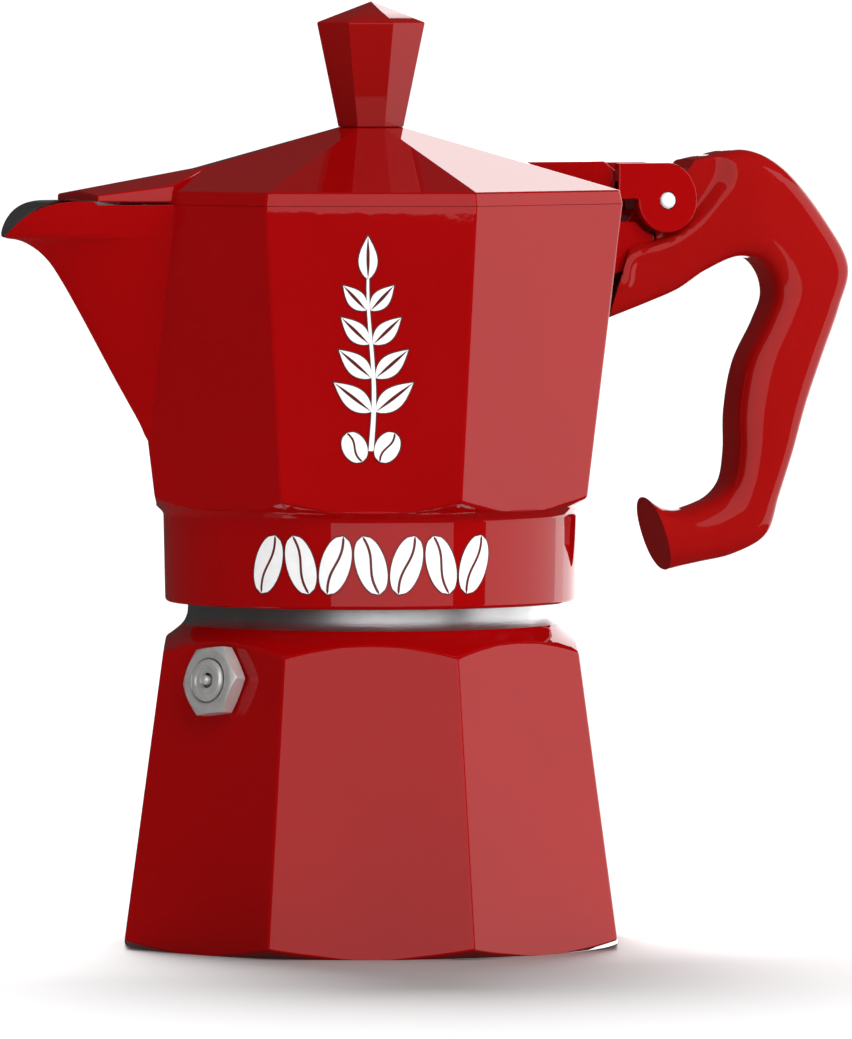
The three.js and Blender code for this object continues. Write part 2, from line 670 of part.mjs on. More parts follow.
// Where the shapes that cut the handle end, outside it: towards the pot, above it and beside it
const BEYOND = { x: 38, y: 12, z: 140 };

// The recess in each side that the lid's ears swing in, down to the cheeks.
function earRecess() {
  const shape = new THREE.Shape();
  shape.moveTo(BEYOND.x, 111.4);
  shape.lineTo(43.5, 111.4);
  shape.bezierCurveTo(43.6, 114.4, 44.6, 115.8, 47.4, 116.3);
  shape.bezierCurveTo(52.6, 117.2, 57.5, 119.6, 63.9, 126.2);
  shape.bezierCurveTo(64.4, 128.2, 63.4, 130.6, 60.6, 131);
  shape.lineTo(58.8, 136);
  shape.lineTo(BEYOND.x, 136);
  shape.closePath();
  return uprightPair(shape, HINGE.cheekOuter, BEYOND.y);
}

// The notch in the cheeks that the lid's ears turn in, open towards the chamber.
function cheekNotch() {
  const { x, z, bossRound, earRound, earClear, notchStart, notchEnd } = HINGE;
  const clear = earRound + earClear;
  const bottom = 120.9;
  const shape = new THREE.Shape();
  shape.moveTo(BEYOND.x, bottom);
  shape.lineTo(x + clear * Math.cos(radians(notchStart)), bottom);
  shape.absarc(x, z, clear, radians(notchStart), radians(notchEnd), false);
  shape.absarc(x, z, bossRound, radians(notchEnd), radians(90), true);
  shape.lineTo(x, BEYOND.z);
  shape.lineTo(BEYOND.x, BEYOND.z);
  shape.closePath();
  return upright(shape, -BEYOND.y, BEYOND.y);
}

// The space behind the handle's root that the chamber's wall and rim take up.
function chamberSide() {
  const rootZ = 104;
  const root = chamberCorner(rootZ) + 0.45;
  return octagonal([
    [0, rootZ - 4], [root, rootZ - 4], [root, rootZ], [45.9, 112], [47.2, 116], [47.2, BEYOND.z],
    [0, BEYOND.z],
  ]);
}

// The pocket for the lug's wide foot.
function footPocket() {
  const half = HINGE.cheekOuter + GAP;
  const end = HINGE.bracketEnd + GAP;
  const shape = new THREE.Shape();
  shape.moveTo(BEYOND.x, 111.4);
  shape.lineTo(42, 111.4);
  shape.lineTo(end, 114);
  shape.lineTo(end, BEYOND.z);
  shape.lineTo(BEYOND.x, BEYOND.z);
  shape.closePath();
  return upright(shape, -half, half);
}

// The slot between the cheeks for the lug.
function lugSlot() {
  const { x, z, bossRound, cheekInner } = HINGE;
  const end = x + bossRound + 0.5;
  const shape = new THREE.Shape();
  shape.moveTo(BEYOND.x, 110.8);
  shape.lineTo(54.4, 115.6);
  shape.lineTo(end, z - 2.6);
  shape.lineTo(end, BEYOND.z);
  shape.lineTo(BEYOND.x, BEYOND.z);
  shape.closePath();
  return upright(shape, -cheekInner, cheekInner);
}

// What is cut off above the cheeks, in front of the handle's shoulder.
function aboveCheeks() {
  const { x, z, bossRound } = HINGE;
  const front = x - 12;
  const shoulder = x + 6;
  const shape = new THREE.Shape();
  shape.moveTo(front, z + bossRound);
  shape.lineTo(x + 3.6, z + bossRound);
  shape.lineTo(x + 5, 129.9);
  shape.lineTo(shoulder, 131.2);
  shape.lineTo(shoulder, BEYOND.z);
  shape.lineTo(front, BEYOND.z);
  shape.closePath();
  return upright(shape, -BEYOND.y, BEYOND.y);
}

function handle() {
  const stepsPerStation = 2;
  const pointsPerRing = 18;
  return lofted(handleRings(stepsPerStation, pointsPerRing)).subtract(chamberSide())
    .subtract(lugSlot()).subtract(footPocket()).subtract(earRecess()).subtract(cheekNotch())
    .subtract(aboveCheeks()).subtract(crossRod(HINGE.holeRound, HINGE.x, HINGE.z, BEYOND.y + 2));
}

// The pin through the lid's ears, the handle's cheeks and the chamber's lug, with domed ends.
function hingePin() {
  const { x, z, pinRound, earOuter } = HINGE;
  const dome = 0.3;
  return turned([
    [0, -earOuter - dome], [pinRound * 0.7, -earOuter - dome * 0.6], [pinRound, -earOuter],
    [pinRound, earOuter], [pinRound * 0.7, earOuter + dome * 0.6], [0, earOuter + dome],
  ], 24).rotate([90, 0, 0]).translate([x, 0, z]);
}

// ---------------------------------------------------------------- assembly

const RED = 0xa81620;
const red = () => new THREE.MeshStandardMaterial({ color: RED, roughness: 0.12, metalness: 0 });
const metal = (color, roughness) => new THREE.MeshStandardMaterial({ color, roughness, metalness: 1 });
const aluminium = () => metal(0xc9cacc, 0.35);
const steel = () => metal(0xd6d6d8, 0.15);
const rubber = () => new THREE.MeshStandardMaterial({ color: 0xe9e6dc, roughness: 0.7, metalness: 0 });

function piece(name, shape, material) {
  const mesh = new THREE.Mesh(geometryOf(shape), material);
  mesh.name = name;
  return mesh;
}

function valve() {
  const group = new THREE.Group();
  group.add(piece('valve_body', valveBody(), steel()));
  group.add(piece('valve_cap', valveCap(), steel()));
  group.add(piece('valve_stem', valveStem(), steel()));
  group.add(piece('valve_seal', valveSeal(), rubber()));
  group.add(piece('valve_spring', valveSpring(), steel()));
  group.applyMatrix4(valvePlacement());
  return group;
}

const pot = new THREE.Group();
pot.add(
  piece('boiler', boiler(), red()),
  valve(),
  piece('funnel', funnel(), aluminium()),
  piece('funnel_filter', funnelFilter(), aluminium()),
  piece('gasket', gasket(), rubber()),
  piece('filter_plate', filterPlate(), aluminium()),
  piece('upper_chamber', upperChamber(), red()),
  piece('lid', lid(), red()),
  piece('knob', knob(), red()),
  piece('knob_insert', knobInsert(), metal(0xc8a24a, 0.3)),
  piece('knob_washer', knobWasher(), steel()),
  piece('knob_screw', knobScrew(), steel()),
  piece('handle', handle(), red()),
  piece('hinge_pin', hingePin(), steel()),
);

export default pot;
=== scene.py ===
"""The looks of a red octagonal moka pot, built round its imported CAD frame.

Sizes are in millimetres in the CAD's own frame (+X the handle, -X the spout, +Z up) and turn into
metres where a mesh is made.
"""

from math import acos, atan, atan2, cos, degrees, hypot, pi, radians, sin, sqrt, tan

import bmesh
import bpy
import numpy as np
from mathutils import Matrix, Vector

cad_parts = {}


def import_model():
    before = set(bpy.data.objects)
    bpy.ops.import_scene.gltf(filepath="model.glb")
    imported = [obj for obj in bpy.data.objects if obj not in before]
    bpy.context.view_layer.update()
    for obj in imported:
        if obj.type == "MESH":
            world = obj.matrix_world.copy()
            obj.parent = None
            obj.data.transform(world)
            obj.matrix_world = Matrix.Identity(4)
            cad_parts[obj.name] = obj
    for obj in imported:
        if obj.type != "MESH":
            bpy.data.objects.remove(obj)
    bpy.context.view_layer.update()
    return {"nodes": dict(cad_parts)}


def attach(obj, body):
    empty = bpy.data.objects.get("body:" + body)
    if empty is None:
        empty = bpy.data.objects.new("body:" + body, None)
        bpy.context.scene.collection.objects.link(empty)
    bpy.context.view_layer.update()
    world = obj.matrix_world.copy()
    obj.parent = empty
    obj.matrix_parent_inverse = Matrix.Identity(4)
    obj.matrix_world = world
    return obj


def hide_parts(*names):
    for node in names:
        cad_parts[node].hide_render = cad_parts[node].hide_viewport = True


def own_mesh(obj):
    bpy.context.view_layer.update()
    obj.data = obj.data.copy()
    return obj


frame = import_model()

MM = 0.001
HALF_SECTOR = pi / 8  # from the middle of an octagon's facet to its corner
OCTAGON = cos(HALF_SECTOR)  # apothem of an octagon over its corner radius

# ------------------------------ driving dimensions, as in the CAD

BASE_CORNER, TOP_CORNER, BOILER_TOP = 44.8, 37.6, 49.5
FOOT_ROUND, FOOT_FLARE = 41.4, 2.0
NECK_ROUND, NECK_TOP, MOUTH_ROUND = 30.75, 69.0, 27.9
SHOULDER_SLOPE = 1.5

THREAD_PITCH, THREAD_START, THREAD_TURNS = 3.0, 59.3, 2.5
THREAD_CREST, THREAD_ROOT = 31.75, 30.3

COLLAR_BOTTOM, COLLAR_TOP, COLLAR_LOW_ROUND, COLLAR_HIGH_ROUND = 57.5, 72.4, 34.6, 34.9
CHAMBER_LOW_CORNER, CHAMBER_LOW_Z, RIM_CORNER, RIM_Z = 39.1, 75.5, 45.4, 124.45
FLOOR_Z, COLUMN_Z, INNER_LOW_CORNER, INNER_HIGH_CORNER = 77.3, 118.0, 38.316, 43.7
SPOUT_START_Z, SPOUT_HALF = 84.2, 12.0

LID_BOTTOM, LID_EDGE_TOP, LID_EDGE_CORNER, LID_TOP_CORNER, LID_TOP = 124.75, 126.7, 44.9, 5.5, 137.1
LID_WALL, SKIRT_CORNER, SKIRT_DROP = 1.8, 41.4, 1.6
TAB_HALF, TAB_TOP, TAB_END, TAB_EDGE = 4.4, 131.1, 44.8, 3.2

HINGE_X, HINGE_Z, PIN_ROUND, PIN_HOLE = 51.7, 124.45, 1.4, 1.55
EAR_INNER, EAR_OUTER, EAR_ROUND, EAR_TOP, EAR_FRONT = 4.5, 6.4, 5.45, 130.8, 42.6
EAR_CLEAR = EAR_ROUND + 0.6  # radius of the room that the ears turn in
NOTCH_END = 216  # angle round the hinge, in degrees, where that room's lower edge starts
BOSS_ROUND, LUG_HALF, CHEEK_INNER, CHEEK_OUTER, BRACKET_END = 4.4, 2.0, 2.3, 4.2, 50.2

KNOB_BOTTOM, KNOB_CORNER, KNOB_SHOULDER, KNOB_TOP_CORNER, KNOB_APEX = 137.4, 5.9, 154.6, 9.8, 158.1

VALVE_ANGLE, VALVE_Z, VALVE_HALF_FLATS, VALVE_TOP, VALVE_TRAVEL = 202.5, 45.1, 5.5, 3.2, 1.5
SPRING_BOTTOM, SPRING_TOP, SPRING_ROUND, SPRING_WIRE, SPRING_TURNS = -2.0, 2.5, 1.65, 0.3, 4

BEYOND = 140  # a height above the hinge and the lid, for shapes that cut right through

BOILER_SLOPE = (BASE_CORNER - TOP_CORNER) / BOILER_TOP
CHAMBER_SLOPE = (RIM_CORNER - CHAMBER_LOW_CORNER) / (RIM_Z - CHAMBER_LOW_Z)
LID_SLOPE = (LID_TOP - LID_EDGE_TOP) / (LID_EDGE_CORNER - LID_TOP_CORNER)

# ------------------------------ outlines


def arc(x, z, radius, start, end, steps=16):
    """Points of a circular arc; angles in degrees."""
    angles = np.radians(np.linspace(start, end, steps + 1))
    return [(x + radius * cos(a), z + radius * sin(a)) for a in angles]


def bezier(p0, p1, p2, p3, steps=16):
    """Points of a cubic Bezier curve."""
    t = np.linspace(0, 1, steps + 1)[:, None]
    p0, p1, p2, p3 = (np.array(p, float) for p in (p0, p1, p2, p3))
    curve = (1 - t) ** 3 * p0 + 3 * t * (1 - t) ** 2 * p1 + 3 * t**2 * (1 - t) * p2 + t**3 * p3
    return [tuple(point) for point in curve]


def smooth_curve(points, steps):
    """Centripetal Catmull-Rom curve through the points, with that many steps between two of them."""
    p = np.array(points, float)
    p = np.vstack([2 * p[0] - p[1], p, 2 * p[-1] - p[-2]])
    curve = []
    for x0, x1, x2, x3 in zip(p, p[1:], p[2:], p[3:]):
        d0, d1, d2 = (sqrt(np.linalg.norm(b - a)) for a, b in ((x0, x1), (x1, x2), (x2, x3)))
        m1 = ((x1 - x0) / d0 - (x2 - x0) / (d0 + d1) + (x2 - x1) / d1) * d1
        m2 = ((x2 - x1) / d1 - (x3 - x1) / (d1 + d2) + (x3 - x2) / d2) * d1
        for t in np.arange(steps) / steps:
            curve.append((2 * t**3 - 3 * t**2 + 1) * x1 + (t**3 - 2 * t**2 + t) * m1
                         + (3 * t**2 - 2 * t**3) * x2 + (t**3 - t**2) * m2)
    curve.append(p[-2])
    return np.array(curve)


def polygon_radius(angles, sides, rounding):
    """Distance to a regular polygon of apothem 1 with rounded corners, one of them on +X."""
    half = pi / sides
    from_corner = np.abs((angles + half) % (2 * half) - half)
    flat = 1 / np.cos(half - from_corner)
    centre = (1 - rounding) / cos(half)
    across = np.maximum(rounding**2 - (centre * np.sin(from_corner)) ** 2, 0)
    curved = centre * np.cos(from_corner) + np.sqrt(across)
    return np.where(from_corner < corner_angle(sides, rounding), curved, flat)


def corner_angle(sides, rounding):
    """Angle from a corner to where its rounding meets the flat side."""
    half = pi / sides
    return half - atan((1 - rounding) * tan(half))


def polygon_angles(sides, rounding, per_side, per_corner=8):
    """Angles round the axis that follow the sides and the rounded corners of a polygon."""
    half = pi / sides
    tip = corner_angle(sides, rounding)
    corner = np.linspace(-tip, tip, per_corner + 1)
    side = np.linspace(tip, 2 * half - tip, per_side + 1)[1:-1]
    sector = np.concatenate([corner, side])
    return np.concatenate([sector + 2 * half * k for k in range(sides)])


def filleted(points, radii, steps=5):
    """Profiles points[angle][corner] = (radius, z), with a fillet at each corner but the ends."""
    points = np.array(points, float)
    rows = [points[:, 0]]
    for k, radius in zip(range(1, points.shape[1] - 1), radii):
        before = points[:, k - 1] - points[:, k]
        after = points[:, k + 1] - points[:, k]
        long_before = np.linalg.norm(before, axis=1, keepdims=True) + 1e-9
        long_after = np.linalg.norm(after, axis=1, keepdims=True) + 1e-9
        reach = np.minimum(radius, 0.45 * np.minimum(long_before, long_after))
        start = points[:, k] + before / long_before * reach
        end = points[:, k] + after / long_after * reach
        for t in np.linspace(0, 1, steps + 1):
            rows.append((1 - t) ** 2 * start + 2 * t * (1 - t) * points[:, k] + t**2 * end)
    rows.append(points[:, -1])
    return np.stack(rows, axis=1)


# ------------------------------ meshes


def new_object(name, mesh):
    """An object in the scene from a mesh."""
    thing = bpy.data.objects.new(name, mesh)
    bpy.context.scene.collection.objects.link(thing)
    return thing


def mesh_object(name, points, faces):
    """An object from points in millimetres, doubled points merged and faces turned outwards."""
    mesh = bpy.data.meshes.new(name)
    mesh.from_pydata([tuple(point) for point in np.asarray(points, float) * MM], [], faces)
    body = bmesh.new()
    body.from_mesh(mesh)
    bmesh.ops.remove_doubles(body, verts=body.verts, dist=2e-6)
    bmesh.ops.recalc_face_normals(body, faces=body.faces)
    body.to_mesh(mesh)
    body.free()
    mesh.update()
    return new_object(name, mesh)


def round_shell(name, angles, rows, looped=False):
    """A closed skin round Z: rows[angle][row] = (radius, z). Looped rows join their end to their start."""
    rows = np.asarray(rows, float)
    around, along = rows.shape[:2]
    points = np.stack([rows[:, :, 0] * np.cos(angles)[:, None],
                       rows[:, :, 0] * np.sin(angles)[:, None], rows[:, :, 1]], axis=2)
    faces = []
    for i in range(around):
        j = (i + 1) % around
        for k in range(along if looped else along - 1):
            n = (k + 1) % along
            faces.append((i * along + k, j * along + k, j * along + n, i * along + n))
    return mesh_object(name, points.reshape(-1, 3), faces)


def turned(name, profile, radii, segments=96, looped=False):
    """A round body from one profile of (radius, z)."""
    angles = np.linspace(0, 2 * pi, segments, endpoint=False)
    if looped:
        middle = ((profile[0][0] + profile[-1][0]) / 2, (profile[0][1] + profile[-1][1]) / 2)
        profile = [middle, *profile, middle]
    rows = filleted(np.tile(np.array(profile, float), (segments, 1, 1)), radii)
    if looped:
        rows = rows[:, :-1]
    return round_shell(name, angles, rows, looped)


def lofted(name, rings):
    """A skin through rings of equal point counts, closed at both ends by a fan."""
    rings = np.asarray(rings, float)
    count, around = rings.shape[:2]
    points = list(rings.reshape(-1, 3))
    faces = []
    for r in range(count - 1):
        for i in range(around):
            a, b = r * around + i, r * around + (i + 1) % around
            faces.append((a, b, b + around, a + around))
    for first in (0, (count - 1) * around):
        hub = len(points)
        points.append(np.mean(points[first:first + around], axis=0))
        for i in range(around):
            faces.append((first + i, first + (i + 1) % around, hub))
    return mesh_object(name, points, faces)


def plate(name, outline, y0, y1, bevel=0.0):
    """An outline in X and Z, given thickness along Y, with its edges rounded."""
    count = len(outline)
    points = [(x, y, z) for y in (y0, y1) for x, z in outline]
    faces = [tuple(range(count)), tuple(range(2 * count - 1, count - 1, -1))]
    faces += [(i, (i + 1) % count, count + (i + 1) % count, count + i) for i in range(count)]
    thing = mesh_object(name, points, faces)
    if bevel:
        round_edges(thing, bevel)
    return thing


def round_edges(thing, width, angle=30):
    """Rounds the edges that are sharper than the angle, in degrees."""
    bevel = thing.modifiers.new("bevel", "BEVEL")
    bevel.width = width * MM
    bevel.segments = 3
    bevel.limit_method = "ANGLE"
    bevel.angle_limit = radians(angle)
    bevel.miter_outer = "MITER_ARC"
    apply_modifiers(thing)


def apply_modifiers(thing):
    """Replaces a thing's mesh by what its modifiers make of it."""
    graph = bpy.context.evaluated_depsgraph_get()
    thing.data = bpy.data.meshes.new_from_object(thing.evaluated_get(graph))
    thing.modifiers.clear()


def combine(thing, others, operation):
    """Joins the others to the thing, or cuts them out of it, and removes them."""
    for other in others:
        boolean = thing.modifiers.new("boolean", "BOOLEAN")
        boolean.operation = operation
        boolean.solver = "EXACT"
        boolean.object = other
        apply_modifiers(thing)
        bpy.data.objects.remove(other)


def even_shading(thing, angle=35):
    """Smooth shading in which large flat faces stay flat and edges past the angle stay sharp."""
    for face in thing.data.polygons:
        face.use_smooth = True
    body = bmesh.new()
    body.from_mesh(thing.data)
    for edge in body.edges:
        edge.smooth = len(edge.link_faces) != 2 or edge.calc_face_angle(0) < radians(angle)
    body.to_mesh(thing.data)
    body.free()
    weighted = thing.modifiers.new("weighted", "WEIGHTED_NORMAL")
    weighted.keep_sharp = True
    weighted.weight = 100
    apply_modifiers(thing)


def finished(thing, body, material, slot, *nodes):
    """Gives a piece its shading, material and body, and hides the CAD nodes that it stands for. Its slot
    is not used.
    """
    even_shading(thing)
    thing.data.materials.clear()
    thing.data.materials.append(material)
    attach(thing, body)
    if nodes:
        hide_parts(*nodes)
    return thing


def bare_where(thing, inside):
    """Leaves the metal bare on the faces whose middle is inside, by inside(angle, radius, z)."""
    thing.data.materials.append(ALUMINIUM)
    for face in thing.data.polygons:
        x, y, z = face.center / MM
        if inside(atan2(y, x), hypot(x, y), z):
            face.material_index = 1


def facet_share(angle):
    """Distance to a sharp octagon of corner radius 1 at an angle."""
    return OCTAGON / cos(angle % (2 * HALF_SECTOR) - HALF_SECTOR)


def cross_rod(name, radius, half_length):
    """A rod along Y through the hinge's axis."""
    outline = arc(HINGE_X, HINGE_Z, radius, 0, 360, 48)[:-1]
    return plate(name, outline, -half_length, half_length)


# ------------------------------ materials


class Nodes:
    """Short names for the nodes of one material."""

    def __init__(self, name):
        self.material = bpy.data.materials.new(name)
        self.material.use_nodes = True
        self.tree = self.material.node_tree
        self.shader = self.tree.nodes["Principled BSDF"]
        self.place = self.add("ShaderNodeTexCoord").outputs["Object"]

    def add(self, kind, **settings):
        """A new node, with its sockets and properties set by name."""
        node = self.tree.nodes.new(kind)
        for key, value in settings.items():
            if key in node.inputs:
                node.inputs[key].default_value = value
            else:
                setattr(node, key, value)
        return node

    def link(self, output, target):
        self.tree.links.new(output, target)

    def noise(self, scale, detail, stretch=(1, 1, 1)):
        """Noise fixed to the object, stretched along its axes."""
        mapping = self.add("ShaderNodeMapping")
        mapping.inputs["Scale"].default_value = stretch
        self.link(self.place, mapping.inputs["Vector"])
        noise = self.add("ShaderNodeTexNoise", Scale=scale, Detail=detail)
        self.link(mapping.outputs["Vector"], noise.inputs["Vector"])
        return noise.outputs["Fac"]

    def between_colours(self, value, dark, light):
        """From the dark to the light colour over the middle of the value's range."""
        ramp = self.add("ShaderNodeValToRGB")
        stops = ((0.3, dark), (0.7, light))
        for element, (position, colour) in zip(ramp.color_ramp.elements, stops):
            element.position = position
            element.color = (*colour, 1)
        self.link(value, ramp.inputs["Fac"])
        return ramp.outputs["Color"]

    def spread(self, value, low, high):
        """The value, from 0 to 1, set between low and high."""
        node = self.add("ShaderNodeMapRange")
        node.inputs["To Min"].default_value = low
        node.inputs["To Max"].default_value = high
        self.link(value, node.inputs["Value"])
        return node.outputs["Result"]

    def bump(self, value, strength, distance):
        """A relief of the value, whose full height is the distance in metres."""
        node = self.add("ShaderNodeBump", Strength=strength, Distance=distance)
        self.link(value, node.inputs["Height"])
        return node.outputs["Normal"]

    def set(self, **constants):
        """Numbers on the shader's own sockets."""
        names = {"metallic": "Metallic", "specular": "Specular IOR Level", "coat": "Coat Weight",
                 "coat_roughness": "Coat Roughness", "coat_ior": "Coat IOR"}
        for key, value in constants.items():
            self.shader.inputs[names[key]].default_value = value


def surface(name, dark, light, tone, gloss, sheen, grain, relief, **constants):
    """A material whose colour, roughness and relief each vary a little over the surface.

    tone, sheen and grain are the noise of the colour, of the roughness and of the relief. gloss is
    the range of the roughness, and relief is the strength and height of the bumps.
    """
    n = Nodes(name)
    n.set(**constants)
    n.link(n.between_colours(n.noise(*tone), dark, light), n.shader.inputs["Base Color"])
    n.link(n.spread(n.noise(*sheen), *gloss), n.shader.inputs["Roughness"])
    n.link(n.bump(n.noise(*grain), *relief), n.shader.inputs["Normal"])
    return n


def red_enamel():
    """High-gloss lacquer over a cast surface, with a slight change of depth and orange peel."""
    n = surface("red_enamel", (0.285, 0.0008, 0.0012), (0.315, 0.0012, 0.0018), tone=(24, 4),
                gloss=(0.34, 0.5), sheen=(160, 5), grain=(900, 3), relief=(0.05, 0.0002),
                coat=1.0, coat_roughness=0.02, coat_ior=1.5, specular=0.0)
    n.link(n.bump(n.noise(330, 2), 0.02, 0.0002), n.shader.inputs["Coat Normal"])
    return n.material


def red_plastic():
    """Moulded phenolic: a touch more orange, glossy, with faint flow marks."""
    return surface("red_plastic", (0.265, 0.003, 0.0026), (0.305, 0.0045, 0.004),
                   tone=(40, 5, (1, 1, 0.35)), gloss=(0.22, 0.34), sheen=(220, 4), grain=(260, 3),
                   relief=(0.03, 0.0002), coat=0.8, coat_roughness=0.05, coat_ior=1.48,
                   specular=0.0).material


def polished_steel():
    """Turned and polished steel: fine rings, small scratches and a slight warmth."""
    return surface("polished_steel", (0.66, 0.64, 0.63), (0.80, 0.79, 0.78), tone=(300, 4),
                   gloss=(0.14, 0.3), sheen=(900, 6), grain=(1500, 4, (1, 1, 4)),
                   relief=(0.12, 0.0001), metallic=0.62).material


def bright_zinc():
    """The plating of the hinge pin: very light and satin."""
    return surface("bright_zinc", (0.86, 0.86, 0.87), (0.93, 0.93, 0.93), tone=(500, 4),
                   gloss=(0.25, 0.4), sheen=(900, 5), grain=(1300, 4), relief=(0.1, 0.0001),
                   metallic=0.25).material


def bare_aluminium():
    """Pressed aluminium, satin, with the fine rings of its drawing."""
    return surface("bare_aluminium", (0.62, 0.62, 0.63), (0.76, 0.76, 0.77), tone=(120, 5),
                   gloss=(0.28, 0.42), sheen=(260, 5, (1, 1, 6)), grain=(500, 5, (1, 1, 8)),
                   relief=(0.15, 0.0002), metallic=1.0).material


def silicone():
    """Soft seal: matt, milky, with a very fine grain."""
    return surface("silicone", (0.72, 0.70, 0.64), (0.82, 0.80, 0.74), tone=(90, 4),
                   gloss=(0.55, 0.7), sheen=(400, 3), grain=(1200, 3), relief=(0.2, 0.0001),
                   specular=0.3).material


def brass():
    """Turned brass, bright, with faint tool marks."""
    return surface("brass", (0.66, 0.46, 0.18), (0.78, 0.58, 0.26), tone=(200, 4),
                   gloss=(0.2, 0.36), sheen=(700, 5), grain=(1100, 4, (1, 1, 5)),
                   relief=(0.1, 0.0001), metallic=1.0).material


def print_ink(name, dark, light):
    """Ink under the lacquer, for the white print and for the dark painted shadow round it: even, with a
    very slight mottle.
    """
    return surface(name, dark, light, tone=(700, 4), gloss=(0.38, 0.5), sheen=(1200, 3),
                   grain=(2000, 2), relief=(0.05, 0.0001), coat=0.6, coat_roughness=0.08,
                   specular=0.3).material


ENAMEL = red_enamel()
PLASTIC = red_plastic()
STEEL = polished_steel()
ZINC = bright_zinc()
ALUMINIUM = bare_aluminium()
SILICONE = silicone()
BRASS = brass()
WHITE_INK = print_ink("white_ink", (0.84, 0.84, 0.85), (0.90, 0.90, 0.90))
# painted shadow: a dark red ink edge round the white prints, standing in for the shade along the edge of a
# raised mark
PAINTED_SHADOW_INK = print_ink("painted_shadow_ink", (0.10, 0.004, 0.006), (0.14, 0.006, 0.008))

# ------------------------------ boiler

EDGE = 0.03  # rounding of the octagons' corners, as a share of their apothem


def octagon_share(angles):
    """Distance to an octagon of corner radius 1 with its corners rounded, at each angle."""
    return polygon_radius(angles, 8, EDGE) * OCTAGON


def octagon_rows(angles, corners):
    """One profile per angle from [corner radius, z] pairs."""
    return np.array([[(corner * u, z) for corner, z in corners] for u in octagon_share(angles)])


def boiler():
    """The pot: octagonal below, with a round, threaded neck, and hollow."""
    angles = polygon_angles(8, EDGE, 20)
    slope = BOILER_SLOPE
    rows = []
    for u in octagon_share(angles):
        foot_z = max((u * BASE_CORNER - FOOT_ROUND) / (FOOT_FLARE + u * slope), 0.05)
        top_reach = TOP_CORNER + SHOULDER_SLOPE * BOILER_TOP
        top_z = min((top_reach - u * BASE_CORNER) / (SHOULDER_SLOPE - u * slope), 51.35)
        rows.append([
            (0, 0), (21, 0), (22, 0.8), (34, 0.8), (35, 0),
            (min(FOOT_ROUND, u * BASE_CORNER), 0),
            (u * (BASE_CORNER - slope * foot_z), foot_z), (u * (BASE_CORNER - slope * top_z), top_z),
            (34.3, 51.7), (33, 52.6), (31.7, 53.7), (30.9, 55.1), (NECK_ROUND, 56.8),
            (NECK_ROUND, NECK_TOP - 0.5), (NECK_ROUND - 0.5, NECK_TOP), (MOUTH_ROUND, NECK_TOP),
            (MOUTH_ROUND, 55), (29.2, 52.1), (31.6, 47), (36.2, 6), (35.3, 3.9), (33.2, 3), (0, 3),
        ])
    radii = [0.3, 0.3, 0.3, 0.3, 0.25, 0.4, 0.5, 0.6, 1, 1, 1, 1, 0.4, 0.4, 0.3, 1, 1, 1, 2, 2, 2]
    shell = round_shell("boiler_shell", angles, filleted(rows, radii))
    combine(shell, [thread("boiler_thread", 0, THREAD_START, THREAD_TURNS)], "UNION")
    finished(shell, "boiler_body", ENAMEL, "red_enamel", "boiler")

    def inside(angle, radius, z):
        wall = (BASE_CORNER - slope * z) * facet_share(angle)
        hollow = radius < min(wall - 1.6, 37 - z * 0.1)
        return z > COLLAR_BOTTOM or (z > 2 and hollow)

    bare_where(shell, inside)


def thread(name, growth, start, turns):
    """A helical ridge that runs out at both ends. growth makes it fatter, to cut its groove."""
    per_turn = 72
    count = round(turns * per_turn)
    fatter = growth * 0.6
    root = THREAD_ROOT + growth - 0.2
    rings = []
    for i in range(count + 1):
        angle = 2 * pi * i / per_turn
        fade = min(1, 0.15 + i / 12, 0.15 + (count - i) / 12)
        crest = THREAD_ROOT + (THREAD_CREST - THREAD_ROOT) * fade + growth
        upper_half = [(crest, 0.3 + fatter), (crest - 0.15, 0.5 + fatter), (root, 1.2 + fatter)]
        section = [(radius, -z) for radius, z in upper_half[::-1]] + upper_half
        rise = start + THREAD_PITCH * i / per_turn
        rings.append([(r * cos(angle), r * sin(angle), z + rise) for r, z in section])
    return lofted(name, rings)


# ------------------------------ safety valve


def valve_placement():
    """From the valve's own frame, along +Z from the wall's outer face, to its place on the boiler."""
    slope = (BASE_CORNER - TOP_CORNER) * OCTAGON / BOILER_TOP  # of a facet's middle
    lean = atan(slope)
    angle = radians(VALVE_ANGLE)
    apothem = BASE_CORNER * OCTAGON - slope * VALVE_Z
    level = cos(lean)
    outward = Vector((cos(angle) * level, sin(angle) * level, sin(lean)))
    turn = Vector((0, 0, 1)).rotation_difference(outward).to_matrix().to_4x4()
    place = Vector((apothem * cos(angle), apothem * sin(angle), VALVE_Z)) * MM
    return Matrix.Translation(place) @ turn


